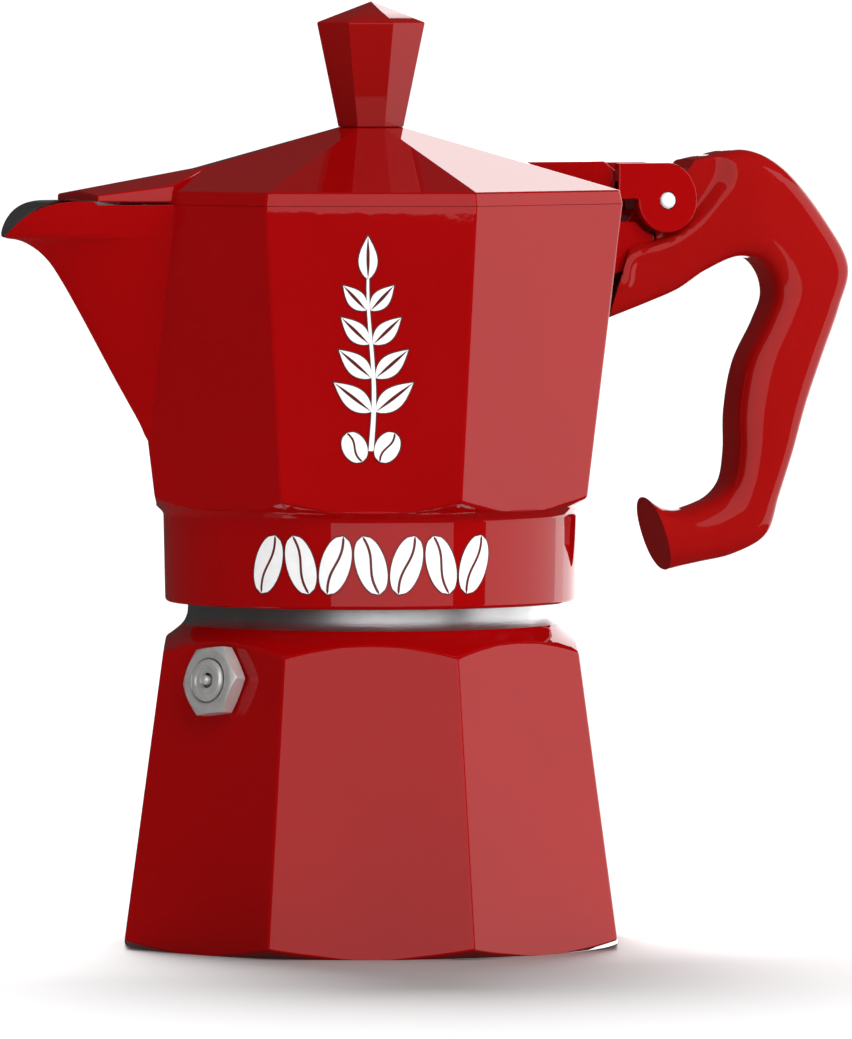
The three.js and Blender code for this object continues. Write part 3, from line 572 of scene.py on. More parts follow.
def valve():
    """The hexagonal body, the ring crimped into it, the plunger and its spring."""
    angles = polygon_angles(6, 0.05, 10, 6)
    unit = polygon_radius(angles, 6, 0.05) * VALVE_HALF_FLATS
    chamfer = 0.62
    rows = []
    for u in unit:
        outer_z = VALVE_TOP - max(u - VALVE_HALF_FLATS + 0.25, 0.02) * chamfer
        low_z = 0.3 + max(u - VALVE_HALF_FLATS, 0) * chamfer * 0.5
        rows.append([
            (2.6, -1), (1.3, -1.2), (1.3, -6), (3.7, -6), (4.1, -5.6), (4.1, 0.3), (5.2, 0.3),
            (u, low_z), (u, outer_z), (VALVE_HALF_FLATS - 0.25, VALVE_TOP), (4.1, VALVE_TOP),
            (3.8, VALVE_TOP - 0.2), (3.8, 2.5), (2.6, 2.5),
        ])
    middle = (np.array(rows)[:, :1] + np.array(rows)[:, -1:]) / 2
    looped = np.concatenate([middle, rows, middle], axis=1)
    body = round_shell("valve_hexagon", angles, filleted(looped, [0.12] * 14, 3)[:, :-1], True)
    ring = [(1.25, 2.8), (3.5, 2.8), (3.5, 3.35), (3.15, 3.7), (2.5, 3.7), (2.2, 3.45), (1.6, 3.45),
            (1.25, 3.2)]
    crimped = turned("valve_collar", ring, [0.1] * 8, 72, True)
    stem = [(0, -3), (2.2, -3), (2.2, -2.4), (0.8, -2.2), (0.8, 3.8), (0.45, 4.2), (0, 4.2)]
    plunger = turned("valve_plunger_stem", stem, [0.1, 0.1, 0.1, 0.15, 0.15], 48)
    spring = valve_spring()
    placement = valve_placement()
    for thing, rides, node in ((body, "boiler_body", "valve_body"),
                               (crimped, "boiler_body", "valve_cap"),
                               (plunger, "valve_plunger", "valve_stem"),
                               (spring, "boiler_body", "valve_spring")):
        thing.data.transform(placement)
        finished(thing, rides, STEEL, "polished_steel", node)
    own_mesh(spring)


def valve_spring():
    """A round wire wound in a helix inside the valve, along its axis."""
    per_turn = 28
    count = per_turn * SPRING_TURNS
    rings = []
    for i in range(count + 1):
        turn = 2 * pi * i / per_turn
        rise = (SPRING_TOP - SPRING_BOTTOM - 2 * SPRING_WIRE) * i / count
        section = arc(SPRING_ROUND, SPRING_BOTTOM + SPRING_WIRE + rise, SPRING_WIRE, 0, 360, 12)[:-1]
        rings.append([(r * cos(turn), r * sin(turn), z) for r, z in section])
    return lofted("valve_spring_wire", rings)


# ------------------------------ collecting chamber

# the spout's front edge and the curve of its pouring lip, as distance from the axis and height
KEEL = smooth_curve([(39.6, 84.2), (46.4, 95.7), (52.5, 106.4), (56, 112.2), (57.9, 114.9), (60.2, 117),
                     (63.1, 118.5), (66.4, 119.2), (67.4, 121), (67.8, 124.6), (67.9, 126)], 12)
# how far along the keel each of its points lies
KEEL_WAY = np.concatenate([[0], np.cumsum(np.linalg.norm(np.diff(KEEL, axis=0), axis=1))])
LIP = bezier((66.5, 118.6), (64.8, 122), (62.3, 125.05), (55.6, 125.05), 40)


def chamber_corner(z):
    """Corner radius of the chamber's outside at a height."""
    share = (z - CHAMBER_LOW_Z) / (RIM_Z - CHAMBER_LOW_Z)
    return CHAMBER_LOW_CORNER + (RIM_CORNER - CHAMBER_LOW_CORNER) * share


def spout_radius(angle, z, inset):
    """How far the spout's pointed arch reaches from the axis, at an angle from -X and a height."""
    share = (z - SPOUT_START_Z) / (RIM_Z - SPOUT_START_Z)
    half = SPOUT_HALF * share - inset
    if half < 0.3:
        return 0.0
    root = chamber_corner(z) - tan(HALF_SECTOR) * half - inset
    apex = np.interp(z, KEEL[:, 1], KEEL[:, 0]) - inset * 1.4
    if apex < root + 0.1:
        return 0.0
    sine, cosine = abs(sin(angle)), cos(angle)
    if half * cosine < root * sine:
        return half / sine
    power = 1.12 + 0.4 * share  # 1 is a pointed arch, 2 a round one
    low, high = root / cosine, apex / cosine + 1
    for _ in range(26):
        radius = (low + high) / 2
        across = min(radius * sine / half, 1.5) ** power
        along = max((radius * cosine - root) / (apex - root), 0) ** power
        low, high = (radius, high) if across + along < 1 else (low, radius)
    return low


def soft_max(a, b, blend):
    """The larger of two, with a fillet where they are near each other."""
    h = min(max(0.5 + 0.5 * (a - b) / blend, 0), 1)
    return b + (a - b) * h + blend * h * (1 - h)


def outer_radius(angle, unit, z):
    """Radius of the chamber's outside with its spout, at an angle from -X and a height."""
    wall = unit * chamber_corner(z)
    spout = spout_radius(angle, z, 0)
    return soft_max(wall, spout, 1.6) if spout > 0 else wall


def inner_radius(angle, unit, z):
    """Radius of the chamber's inside with its spout, at an angle from -X and a height."""
    low, high = INNER_LOW_CORNER * unit, INNER_HIGH_CORNER * unit
    wall = low + (high - low) * (z - FLOOR_Z) / (RIM_Z + 5 - FLOOR_Z)
    spout = spout_radius(angle, z - 1.1, 1.7)
    return soft_max(wall, spout, 1.2) if spout > 0 else wall


def lip_height(out):
    """Height of the chamber's edge at a distance from the axis: the rim, or the pouring lip."""
    step = min(max((out - 53.15) / 0.5, 0), 1)
    rim = RIM_Z + (LIP[-1][1] - RIM_Z) * step * step * (3 - 2 * step)
    if out < LIP[-1][0]:
        return rim
    curve = np.array(LIP)[::-1]
    return float(np.interp(out, curve[:, 0], curve[:, 1]))


def edge_height(angle, unit):
    """Height at which the outer wall meets the lip's curve."""
    low, high = 118.0, 125.6
    for _ in range(22):
        z = (low + high) / 2
        out = outer_radius(angle, unit, z) * cos(angle)
        low, high = (z, high) if lip_height(out) > z else (low, z)
    return low


def wall_levels(low, high, steps):
    """Heights between low and high, spaced evenly along the spout's keel."""
    way = np.interp([low, high], np.maximum.accumulate(KEEL[:, 1]), KEEL_WAY)
    way[0] = low - KEEL[0, 1] if low < KEEL[0, 1] else way[0]
    keel_z = np.concatenate([[low], KEEL[1:, 1]])
    keel_way = np.concatenate([[way[0]], KEEL_WAY[1:]])
    return np.interp(np.linspace(way[0], way[1], steps), keel_way, keel_z)


def chamber_angles():
    """As an octagon's, but close together over the spout, which lies on -X."""
    spread = radians(17)
    usual = polygon_angles(8, EDGE, 16)
    usual = (usual + 0.5) % (2 * pi) - 0.5
    kept = usual[np.abs(usual - pi) > spread]
    return np.sort(np.concatenate([kept, pi + np.linspace(-spread, spread, 121)]))


def from_spout(angle):
    """The angle from the spout, or a right angle where the spout doesn't reach."""
    turn = angle % (2 * pi) - pi
    return turn if cos(turn) > 0.9 else pi / 2


def upper_chamber():
    """The collecting chamber with its collar, spout, column and hinge lug, as one casting."""
    angles = chamber_angles()
    cone = 1 / 0.6144  # run over rise of the step from the collar up to the octagon
    step_round, step_z = 36.2, 73.65
    at_zero = CHAMBER_LOW_CORNER - CHAMBER_SLOPE * CHAMBER_LOW_Z
    steps = 46
    rows = []
    for angle, u in zip(angles, octagon_share(angles)):
        turn = from_spout(angle)
        meeting = (u * at_zero - step_round + step_z * cone) / (cone - u * CHAMBER_SLOPE)
        foot_z = max(meeting, step_z + 0.1)
        edge = edge_height(turn, u)
        outside = [(outer_radius(turn, u, z), z) for z in wall_levels(foot_z, edge, steps)]
        inside = [(inner_radius(turn, u, z), z) for z in wall_levels(79.2, edge, steps)[::-1]]
        rows.append([
            (0, 115), (3.1, 115), (3.1, 77), (5.1, 75.4), (28.4, 75), (28.4, 73.5), (31.05, 73.5),
            (31.05, COLLAR_BOTTOM + 1), (32.2, COLLAR_BOTTOM),
            (COLLAR_LOW_ROUND - 0.4, COLLAR_BOTTOM), (COLLAR_LOW_ROUND, COLLAR_BOTTOM + 0.4),
            (COLLAR_HIGH_ROUND, COLLAR_TOP), (step_round, step_z), *outside, *inside,
            (31.5, FLOOR_Z), (9, FLOOR_Z), (7.5, 79.3), (5.2, 116), (3.4, 117.5), (0, COLUMN_Z),
        ])
    radii = [0.3, 0.3, 1, 0.3, 0.3, 0.3, 0.3, 0.3, 0.3, 0.3, 0.5, 0.4]
    radii += [0.5] + [0.01] * (steps - 2) + [0.06, 0.3] + [0.01] * (steps - 2) + [1.5]
    radii += [2, 1.5, 1, 0.8, 0.8]
    shell = round_shell("chamber_casting", angles, filleted(rows, radii, 3))
    combine(shell, [hinge_lug()], "UNION")
    groove = thread("collar_groove", 0.4, THREAD_START - THREAD_PITCH, THREAD_TURNS + 1.15)
    window = plate("column_window", [(-2, 109), (2, 109), (2, 114), (-2, 114)], -10, 10)
    combine(shell, [groove, window, cross_rod("lug_hole", PIN_HOLE, 10)], "DIFFERENCE")
    finished(shell, "chamber_body", ENAMEL, "red_enamel", "upper_chamber")

    def inside(angle, radius, z):
        if z < FLOOR_Z - 1:
            return radius < 33 and z > COLLAR_BOTTOM + 0.2
        height = min(z, lip_height(radius))
        return radius < outer_radius(from_spout(angle), facet_share(angle), height) - 1.1

    bare_where(shell, inside)


def hinge_lug():
    """The lug that the pin goes through, on a wider foot, hollowed where the lid's ears turn."""
    outline = [(41, 112.2), (53.6, 116.4), (HINGE_X + BOSS_ROUND, HINGE_Z - 2)]
    outline += arc(HINGE_X, HINGE_Z, BOSS_ROUND, -25, 200, 32)
    outline += [(45.6, 120.6), (41, 120.6)]
    lug = plate("lug", outline, -LUG_HALF, LUG_HALF, 0.3)
    start = 180 + degrees(acos((HINGE_X - BRACKET_END) / EAR_CLEAR))
    foot = [(38, 111.7), (42, 111.7), (BRACKET_END, 114.4)]
    foot += arc(HINGE_X, HINGE_Z, EAR_CLEAR, start, NOTCH_END, 14)
    foot += [(38, HINGE_Z + EAR_CLEAR * sin(radians(NOTCH_END)))]
    combine(lug, [plate("lug_foot", foot, -CHEEK_OUTER, CHEEK_OUTER, 0.35)], "UNION")
    return lug


# ------------------------------ lid


def lid():
    """The lid with its skirt, the cover over the spout, the tab and the hinge's ears."""
    angles = polygon_angles(8, EDGE * 0.8, 6)

    def octagonal(name, corners, fillets):
        return round_shell(name, angles, filleted(octagon_rows(angles, corners), fillets))

    seat = RIM_Z + 0.05
    roof = octagonal("lid_casting", [
        (0, seat), (RIM_CORNER, seat), (RIM_CORNER - 0.15, LID_BOTTOM + 0.5),
        (LID_EDGE_CORNER, LID_EDGE_TOP), (LID_TOP_CORNER, LID_TOP), (0, LID_TOP),
    ], [0.05, 0.2, 0.3, 0.4])
    skirt = octagonal("lid_skirt", [
        (0, LID_BOTTOM - SKIRT_DROP), (SKIRT_CORNER, LID_BOTTOM - SKIRT_DROP),
        (SKIRT_CORNER, LID_BOTTOM + 1), (0, LID_BOTTOM + 1),
    ], [0.3, 0.1])
    combine(roof, [skirt, spout_cover(), lid_tab()], "UNION")
    hollow_corner = SKIRT_CORNER - 1.4
    hollow_z = LID_EDGE_TOP + LID_SLOPE * (LID_EDGE_CORNER - hollow_corner) - LID_WALL
    hollow = octagonal("lid_hollow", [
        (0, LID_BOTTOM - 3), (hollow_corner, LID_BOTTOM - 3), (hollow_corner, hollow_z),
        (LID_TOP_CORNER + 1, LID_TOP - LID_WALL), (0, LID_TOP - LID_WALL),
    ], [0.1, 1.2, 1])
    combine(roof, [hollow], "DIFFERENCE")
    combine(roof, lid_ears(), "UNION")
    hole = [(0, LID_TOP - 5), (2.3, LID_TOP - 5), (2.3, LID_TOP + 5), (0, LID_TOP + 5)]
    screw_hole = turned("screw_hole", hole, [0.01, 0.01], 48)
    combine(roof, [cross_rod("ear_hole", PIN_HOLE, 10), screw_hole], "DIFFERENCE")
    finished(roof, "lid_body", ENAMEL, "red_enamel", "lid")

    def inside(angle, radius, z):
        out = radius / facet_share(angle)
        roof_z = LID_EDGE_TOP + LID_SLOPE * (LID_EDGE_CORNER - out)
        return out < SKIRT_CORNER - 0.7 and z < roof_z - 0.9

    bare_where(roof, inside)


def spout_cover():
    """The low roof over the spout, whose ridge runs from its front up into the lid."""
    points = [(-52.9, 0, 126.8), (-29.1, 0, 130.87), (-29.1, 0, LID_BOTTOM)]
    for side in (-1, 1):
        points += [(-52.9, side * 9.2, 126.05), (-52.9, side * 9.2, LID_BOTTOM + 0.1),
                   (-40.3, side * 11.4, 127.6), (-40.3, side * 11.4, LID_BOTTOM)]
    body = bmesh.new()
    for point in points:
        body.verts.new(Vector(point) * MM)
    bmesh.ops.convex_hull(body, input=body.verts)
    bmesh.ops.dissolve_limit(body, angle_limit=radians(1), verts=body.verts, edges=body.edges)
    mesh = bpy.data.meshes.new("spout_cover")
    body.to_mesh(mesh)
    body.free()
    cover = new_object("spout_cover", mesh)
    round_edges(cover, 0.35, 5)
    return cover


def lid_tab():
    """The raised strip from the lid's roof to the hinge."""
    outline = [(20, LID_BOTTOM), (TAB_END, LID_BOTTOM), (TAB_END, LID_BOTTOM + TAB_EDGE),
               (41, TAB_TOP), (20, TAB_TOP)]
    return plate("lid_tab", outline, -TAB_HALF, TAB_HALF, 0.4)


def lid_ears():
    """Two ears that the pin goes through, and the bridge that joins them to the lid."""
    outline = [(EAR_FRONT, LID_BOTTOM), (HINGE_X - EAR_ROUND, LID_BOTTOM)]
    outline += arc(HINGE_X, HINGE_Z, EAR_ROUND, 180, 360, 40)
    rise = EAR_TOP - HINGE_Z
    for a in np.radians(np.linspace(0, 90, 20))[1:]:
        outline.append((HINGE_X + EAR_ROUND * cos(a), HINGE_Z + rise * sin(a)))
    outline += [(EAR_FRONT, EAR_TOP)]
    bridge = [(EAR_FRONT, LID_BOTTOM), (TAB_END, LID_BOTTOM), (TAB_END, LID_BOTTOM + TAB_EDGE),
              (EAR_FRONT, LID_BOTTOM + TAB_EDGE)]
    return [plate("ear_left", outline, -EAR_OUTER, -EAR_INNER, 0.35),
            plate("ear_right", outline, EAR_INNER, EAR_OUTER, 0.35),
            plate("ear_bridge", bridge, -EAR_OUTER + 0.01, EAR_OUTER - 0.01, 0.2)]


# ------------------------------ knob

KNOB_FOOT = KNOB_BOTTOM - 0.28  # the moulding sits down on the lid


def knob():
    """An octagon that widens upwards, with a low point on top and a bore for the brass sleeve."""
    rounding = 0.035
    angles = polygon_angles(8, rounding, 8)
    unit = polygon_radius(angles, 8, rounding) * OCTAGON
    rows = [[(0, 148.5), (3.5, 148.5), (3.5, KNOB_FOOT), (KNOB_CORNER * u, KNOB_FOOT),
             (KNOB_TOP_CORNER * u, KNOB_SHOULDER), (0, KNOB_APEX)] for u in unit]
    body = round_shell("knob_moulding", angles, filleted(rows, [0.3, 0.3, 0.12, 0.3], 6))
    return finished(body, "lid_body", PLASTIC, "red_plastic", "knob")


# ------------------------------ handle

HANDLE_HALF = 5.95  # just over the most that the handle reaches to either side

# Stations along the handle: inner x and z, outer x and z, half thickness, squareness. The inner edge
# faces the pot, and the stations run from the root at the chamber to the hook's end.
HANDLE_STATIONS = [
    (41.6, 104.4, 42.6, 126, 5.9, 6),
    (48.9, 107, 48.6, 129.6, 5.9, 6),
    (54.5, 109.2, 54.6, 130.6, 5.9, 6),
    (59.8, 112.3, 60.9, 132, 5.9, 5),
    (66.2, 114.7, 67.6, 133, 5.8, 4.5),
    (69.9, 114.1, 73.9, 130.4, 5.6, 4),
    (72.2, 111.4, 82.4, 121, 5.5, 4),
    (72.8, 108, 86.8, 113, 5.5, 4),
    (71.2, 103.8, 85.1, 106.2, 5.5, 4),
    (67.6, 96.8, 82, 98, 5.5, 4),
    (66, 88.6, 79, 90, 5.5, 4),
    (65.9, 81, 76.4, 81.6, 5.5, 4),
    (64.9, 76.6, 73.9, 74, 5.4, 3.6),
    (62.4, 74.2, 71.8, 67.4, 5.3, 3),
    (59.1, 72.8, 66, 64.2, 5.3, 2.6),
    (55.6, 72, 59.8, 62.9, 5.3, 2.4),
    (52.6, 72.5, 56.6, 62.3, 5.3, 2.3),
    (49.9, 74.1, 53.9, 61.7, 5.3, 2.2),
]


def squared_ring(power, count):
    """A ring between a circle and a square, with points evenly spaced along it."""
    angles = np.linspace(0, 2 * pi, 1441)
    u = np.sign(np.cos(angles)) * np.abs(np.cos(angles)) ** (2 / power)
    v = np.sign(np.sin(angles)) * np.abs(np.sin(angles)) ** (2 / power)
    way = np.concatenate([[0], np.cumsum(np.hypot(np.diff(u) * 1.6, np.diff(v)))])
    even = np.linspace(0, way[-1], count, endpoint=False)
    return np.interp(even, way, u), np.interp(even, way, v)


def recess_edge():
    """The outline, in X and Z, of the recess that the lid's ears swing in."""
    return ([(38, 111.4), (43.5, 111.4)]
            + bezier((43.5, 111.4), (43.6, 114.4), (44.6, 115.8), (47.4, 116.3), 8)[1:]
            + bezier((47.4, 116.3), (52.6, 117.2), (57.5, 119.6), (63.9, 126.2), 24)[1:]
            + bezier((63.9, 126.2), (65.4, 128.4), (65.6, 131), (64.6, 137), 10)[1:]
            + [(38, 137)])  # just above the handle


def outside_distance(points, outline):
    """Distance of each point to a closed outline, below zero inside it."""
    a = np.array(outline, float)
    b = np.roll(a, -1, axis=0)
    along = b - a
    offset = points[:, None] - a[None]
    share = np.clip((offset * along).sum(2) / (along**2).sum(1), 0, 1)
    distance = np.linalg.norm(offset - share[..., None] * along, axis=2).min(1)
    crosses = (a[:, 1] > points[:, 1:2]) != (b[:, 1] > points[:, 1:2])
    with np.errstate(divide="ignore", invalid="ignore"):
        at = a[:, 0] + (points[:, 1:2] - a[:, 1]) * along[:, 0] / along[:, 1]
    inside = (crosses & (points[:, :1] < at)).sum(1) % 2 == 1
    return np.where(inside, -distance, distance)


def hinge_recess(flat):
    """Narrows the root to the two cheeks inside the recess, with a soft bead along its edge."""
    distance = outside_distance(flat[:, [0, 2]], recess_edge())
    # 0 beside the pot, 1 where the recess runs out into the handle in a wider slope without a bead
    open_end = np.clip((flat[:, 0] - 54) / 8, 0, 1) ** 1.3
    wide = 1 + 3.2 * open_end
    ramp = np.clip((distance + 0.9 * wide) / wide, 0, 1)
    bead = 0.3 * np.exp(-(((distance - 1.1) / 0.9) ** 2)) * (1 - open_end)
    limit = CHEEK_OUTER + (HANDLE_HALF - CHEEK_OUTER) * ramp * ramp * (3 - 2 * ramp)
    side = np.sign(flat[:, 1])
    near_side = np.clip((np.abs(flat[:, 1]) - 3.6) / 1.6, 0, 1)
    flat[:, 1] = side * np.minimum(np.abs(flat[:, 1]) + bead * near_side, limit + bead * near_side)


def handle():
    """The hooked handle, lofted along its stations, with its recess and cuts."""
    per_station, around = 20, 148
    inner = smooth_curve([s[:2] for s in HANDLE_STATIONS], per_station)
    outer = smooth_curve([s[2:4] for s in HANDLE_STATIONS], per_station)
    where = np.arange(len(inner)) / per_station
    at = np.arange(len(HANDLE_STATIONS))
    half = np.interp(where, at, [s[4] for s in HANDLE_STATIONS])
    power = np.interp(where, at, [s[5] for s in HANDLE_STATIONS])
    rings = []
    for a, b, h, p in zip(inner, outer, half, power):
        u, v = squared_ring(p, around)
        centre, reach = (a + b) / 2, (b - a) / 2
        plane = centre + u[:, None] * reach
        rings.append(np.stack([plane[:, 0], h * v, plane[:, 1]], axis=1))
    rings = np.array(rings)
    hinge_recess(rings.reshape(-1, 3))
    body = lofted("handle_moulding", rings)
    combine(body, handle_cuts(), "DIFFERENCE")
    return finished(body, "chamber_body", PLASTIC, "red_plastic", "handle")


def handle_cuts():
    """Room in the handle for the chamber's wall, the lug, its foot, the ears and the pin."""
    root_z, gap = 104, 0.3
    angles = polygon_angles(8, EDGE, 4)
    wall = chamber_corner(root_z) + 0.45
    side = octagon_rows(angles, [(0, root_z - 4), (wall, root_z - 4), (wall, root_z), (45.9, 112),
                                 (47.2, 116), (47.2, BEYOND), (0, BEYOND)])
    pocket = [(38, 111.4), (42, 111.4), (BRACKET_END + gap, 114), (BRACKET_END + gap, BEYOND),
              (38, BEYOND)]
    slot_end = HINGE_X + BOSS_ROUND + 0.5
    slot = [(38, 110.8), (54.4, 115.6), (slot_end, HINGE_Z - 2.6), (slot_end, BEYOND), (38, BEYOND)]
    turn_end = 252  # angle where the room for the ears meets the boss
    notch_x = HINGE_X + EAR_CLEAR * cos(radians(NOTCH_END))
    notch = [(38, 120.9), (notch_x, 120.9)]
    notch += arc(HINGE_X, HINGE_Z, EAR_CLEAR, NOTCH_END, turn_end, 12)[1:]
    notch += arc(HINGE_X, HINGE_Z, BOSS_ROUND, turn_end, 90, 24) + [(HINGE_X, BEYOND), (38, BEYOND)]
    top = HINGE_Z + BOSS_ROUND
    front = [(HINGE_X - 12, top), (HINGE_X + 3.6, top), (HINGE_X + 5, 129.9), (HINGE_X + 6, 131.2),
             (HINGE_X + 6, BEYOND), (HINGE_X - 12, BEYOND)]
    half = CHEEK_OUTER + gap
    return [
        round_shell("cut_wall", angles, filleted(side, [0.05] * 5, 2)),
        plate("cut_slot", slot, -CHEEK_INNER, CHEEK_INNER),
        plate("cut_pocket", pocket, -half, half),
        plate("cut_notch", notch, -12, 12),
        plate("cut_front", front, -12, 12),
        cross_rod("cut_pin", PIN_HOLE, 14),
    ]


def hinge_pin():
    """The pin, with a low domed end on each side."""
    upper = [(PIN_ROUND, EAR_OUTER - 0.05), (PIN_ROUND - 0.3, EAR_OUTER + 0.22), (0, EAR_OUTER + 0.3)]
    profile = [(radius, -z) for radius, z in upper[::-1]] + upper
    pin = turned("hinge_pin_steel", profile, [0.12] * 4, 48)
    hinge = Matrix.Translation(Vector((HINGE_X, 0, HINGE_Z)) * MM)
    pin.data.transform(hinge @ Matrix.Rotation(pi / 2, 4, "X"))
    return finished(pin, "chamber_body", ZINC, "polished_steel", "hinge_pin")


# ------------------------------ inner parts and CAD nodes kept as they are


def pierced_disc(name, profile, rings, spacing, hole, body, node):
    """A round plate with rings of fine holes, six more in each ring than in the one inside it."""
    disc = turned(name, profile, [0.05] * (len(profile) - 2), 96)
    low, high = min(z for _, z in profile) - 1, max(z for _, z in profile) + 1
    rim = [(hole * cos(a), hole * sin(a)) for a in np.radians(range(0, 360, 45))]
    points, faces = [], []
    for ring in range(rings + 1):
        count = max(ring * 6, 1)
        for k in range(count):
            turn = 2 * pi * k / count
            x, y = ring * spacing * cos(turn), ring * spacing * sin(turn)
            a = len(points)
            points += [(x + dx, y + dy, z) for z in (low, high) for dx, dy in rim]
            faces += [tuple(range(a, a + 8)), tuple(range(a + 15, a + 7, -1))]
            faces += [(a + i, a + (i + 1) % 8, a + 8 + (i + 1) % 8, a + 8 + i) for i in range(8)]
    combine(disc, [mesh_object("holes", points, faces)], "DIFFERENCE")
    return finished(disc, body, ALUMINIUM, "bare_aluminium", node)


def filters():
    """The disc under the coffee, and the plate above it, whose middle is raised."""
    spacing, hole = 1.95, 0.45
    basket = [(0, 49.8), (25.9, 49.8), (25.9, 50.6), (0, 50.6)]
    pierced_disc("funnel_filter_disc", basket, 12, spacing, hole, "boiler_body", "funnel_filter")
    raised = [(0, 74.1), (22.5, 74.1), (24, 73.6), (28, 73.6), (28, 74.4), (24, 74.4), (22.5, 74.9),
              (0, 74.9)]
    pierced_disc("filter_plate_disc", raised, 11, spacing, hole, "chamber_body", "filter_plate")


def funnel():
    """The basket for the coffee, with the tube that reaches down into the water."""
    profile = [(26.2, 70.1), (30.2, 70.1), (30.2, 69.3), (27.1, 69.3), (27.1, 49.5), (26.1, 48.5),
               (6.5, 43.5), (4.5, 41.5), (4.5, 8.5), (3.6, 8.5), (3.6, 41.9), (6.1, 44.1),
               (24.1, 49.5), (26.2, 49.5)]
    radii = [0.3, 0.35, 0.3, 0.4, 0.8, 0.8, 1.5, 1.5, 0.2, 0.2, 1.5, 1.5, 0.4, 0.4]
    return finished(turned("coffee_funnel", profile, radii, 128, True), "boiler_body", ALUMINIUM,
                    "bare_aluminium", "funnel")


def paint_nodes():
    """Materials of the CAD nodes that stay as they are."""
    kept = {"valve_seal": SILICONE, "gasket": SILICONE, "knob_insert": BRASS,
            "knob_washer": STEEL, "knob_screw": STEEL}
    for name, material in kept.items():
        node = frame["nodes"][name]
        for place in node.material_slots:
            place.link = "OBJECT"
            place.material = material


# ------------------------------ printed marks

FRONT = radians(247.5)  # middle of the facet that faces the viewer
INK = 0.06  # thickness of the print


def printed(name, sheets, surface, lift, material):
    """Thin closed slabs. Each sheet is a grid of (u, v) points, which surface(u, v, height) places."""
    points, faces = [], []
    for sheet in sheets:
        sheet = np.asarray(sheet, float)
        rows, columns = sheet.shape[:2]
        first = len(points)
        for height in (lift, lift + INK):
            points += [surface(u, v, height) for u, v in sheet.reshape(-1, 2)]
        size = rows * columns
        for i in range(rows - 1):
            for j in range(columns - 1):
                a = first + i * columns + j
                faces.append((a, a + 1, a + columns + 1, a + columns))
                faces.append(tuple(p + size for p in (a + columns, a + columns + 1, a + 1, a)))
        border = list(range(columns))
        border += [i * columns + columns - 1 for i in range(1, rows)]
        border += [(rows - 1) * columns + j for j in range(columns - 2, -1, -1)]
        border += [i * columns for i in range(rows - 2, 0, -1)]
        for a, b in zip(border, border[1:] + border[:1]):
            faces.append((first + a, first + b, first + b + size, first + a + size))
    thing = mesh_object(name, points, faces)
    return finished(thing, "chamber_body", material, None)


def on_facet(u, v, height):
    """A point on the chamber's front facet: u to the right, v up from the base, height off the wall."""
    apothem = chamber_corner(v) * OCTAGON + height
    x = apothem * cos(FRONT) - u * sin(FRONT)
    y = apothem * sin(FRONT) + u * cos(FRONT)
    return (x, y, v - height * CHAMBER_SLOPE * OCTAGON)


def on_collar(u, v, height):
    """A point on the collar: u along its round from the front, v up from the base."""
    share = (v - COLLAR_BOTTOM) / (COLLAR_TOP - COLLAR_BOTTOM)
    radius = COLLAR_LOW_ROUND + (COLLAR_HIGH_ROUND - COLLAR_LOW_ROUND) * share + height
    angle = FRONT + u / COLLAR_LOW_ROUND
    return (radius * cos(angle), radius * sin(angle), v)


def between(left, right, columns=6):
    """A grid that fills the space between two curves of equal point counts."""
    left, right = np.asarray(left, float), np.asarray(right, float)
    share = np.linspace(0, 1, columns)[None, :, None]
    return left[:, None] * (1 - share) + right[:, None] * share


def placed(x, y, foot, lean):
    """Points at x and y, turned clockwise by lean, in degrees, and moved to the foot."""
    turn = radians(lean)
    return np.stack([foot[0] + x * cos(turn) + y * sin(turn),
                     foot[1] - x * sin(turn) + y * cos(turn)], axis=1)


def leaf(foot, length, width, lean, grow):
    """Both halves of a pointed leaf, with a fine gap between them unless it is grown."""
    t = np.linspace(0, 1, 15)
    up = t * length
    up[0] -= grow
    up[-1] += grow
    belly = width / 2 * np.sin(pi * t**0.8) + grow
    gap = (-0.05 if grow else 0.28) * np.sin(pi * t)
    return [between(placed(side * gap, up, foot, lean), placed(side * belly, up, foot, lean))
            for side in (-1, 1)]


def bean(centre, half_long, half_wide, lean, grow):
    """Both halves of a coffee bean, with a curved split between them unless it is grown."""
    t = np.linspace(-1, 1, 19)
    up = t * (half_long + grow)
    wide = (half_wide + grow) * np.sqrt(np.maximum(1 - t**2, 0.0004))
    bend = 0.16 * half_wide * np.sin(pi * t)
    gap = -0.02 if grow else 0.09 * half_wide
    halves = []
    for side in (-1, 1):
        split = np.clip(bend + side * gap, -wide, wide)
        halves.append(between(placed(split, up, centre, lean), placed(side * wide, up, centre, lean)))
    return halves


STEM_LOW, STEM_HIGH = 84, 113


def stem_bend(height):
    """How far the branch's stem leans to the right at a height."""
    return 0.5 * np.sin((height - STEM_LOW) / (STEM_HIGH - STEM_LOW) * pi * 1.6)


def branch(grow):
    """An upright coffee branch: a curved stem, pairs of leaves and two beans at its foot."""
    v = np.linspace(STEM_LOW, STEM_HIGH, 24)
    wide = 0.42 - 0.22 * (v - STEM_LOW) / (STEM_HIGH - STEM_LOW) + grow
    left, right = (np.stack([stem_bend(v) + side * wide, v], axis=1) for side in (-1, 1))
    sheets = [between(left, right, 3)]
    for k in range(4):
        height = STEM_LOW + 6.5 + 5.6 * k
        for side in (-1, 1):
            foot = (stem_bend(height) + side * 0.35, height)
            sheets += leaf(foot, 7.9 - 0.75 * k, 3.6 - 0.25 * k, side * (52 - 3 * k), grow)
    sheets += leaf((stem_bend(STEM_HIGH), STEM_HIGH - 0.6), 7.2, 3.1, 0, grow)
    for side in (-1, 1):
        sheets += bean((side * 2.7, STEM_LOW + 0.6), 2.7, 2.0, side * 28, grow)
    return sheets


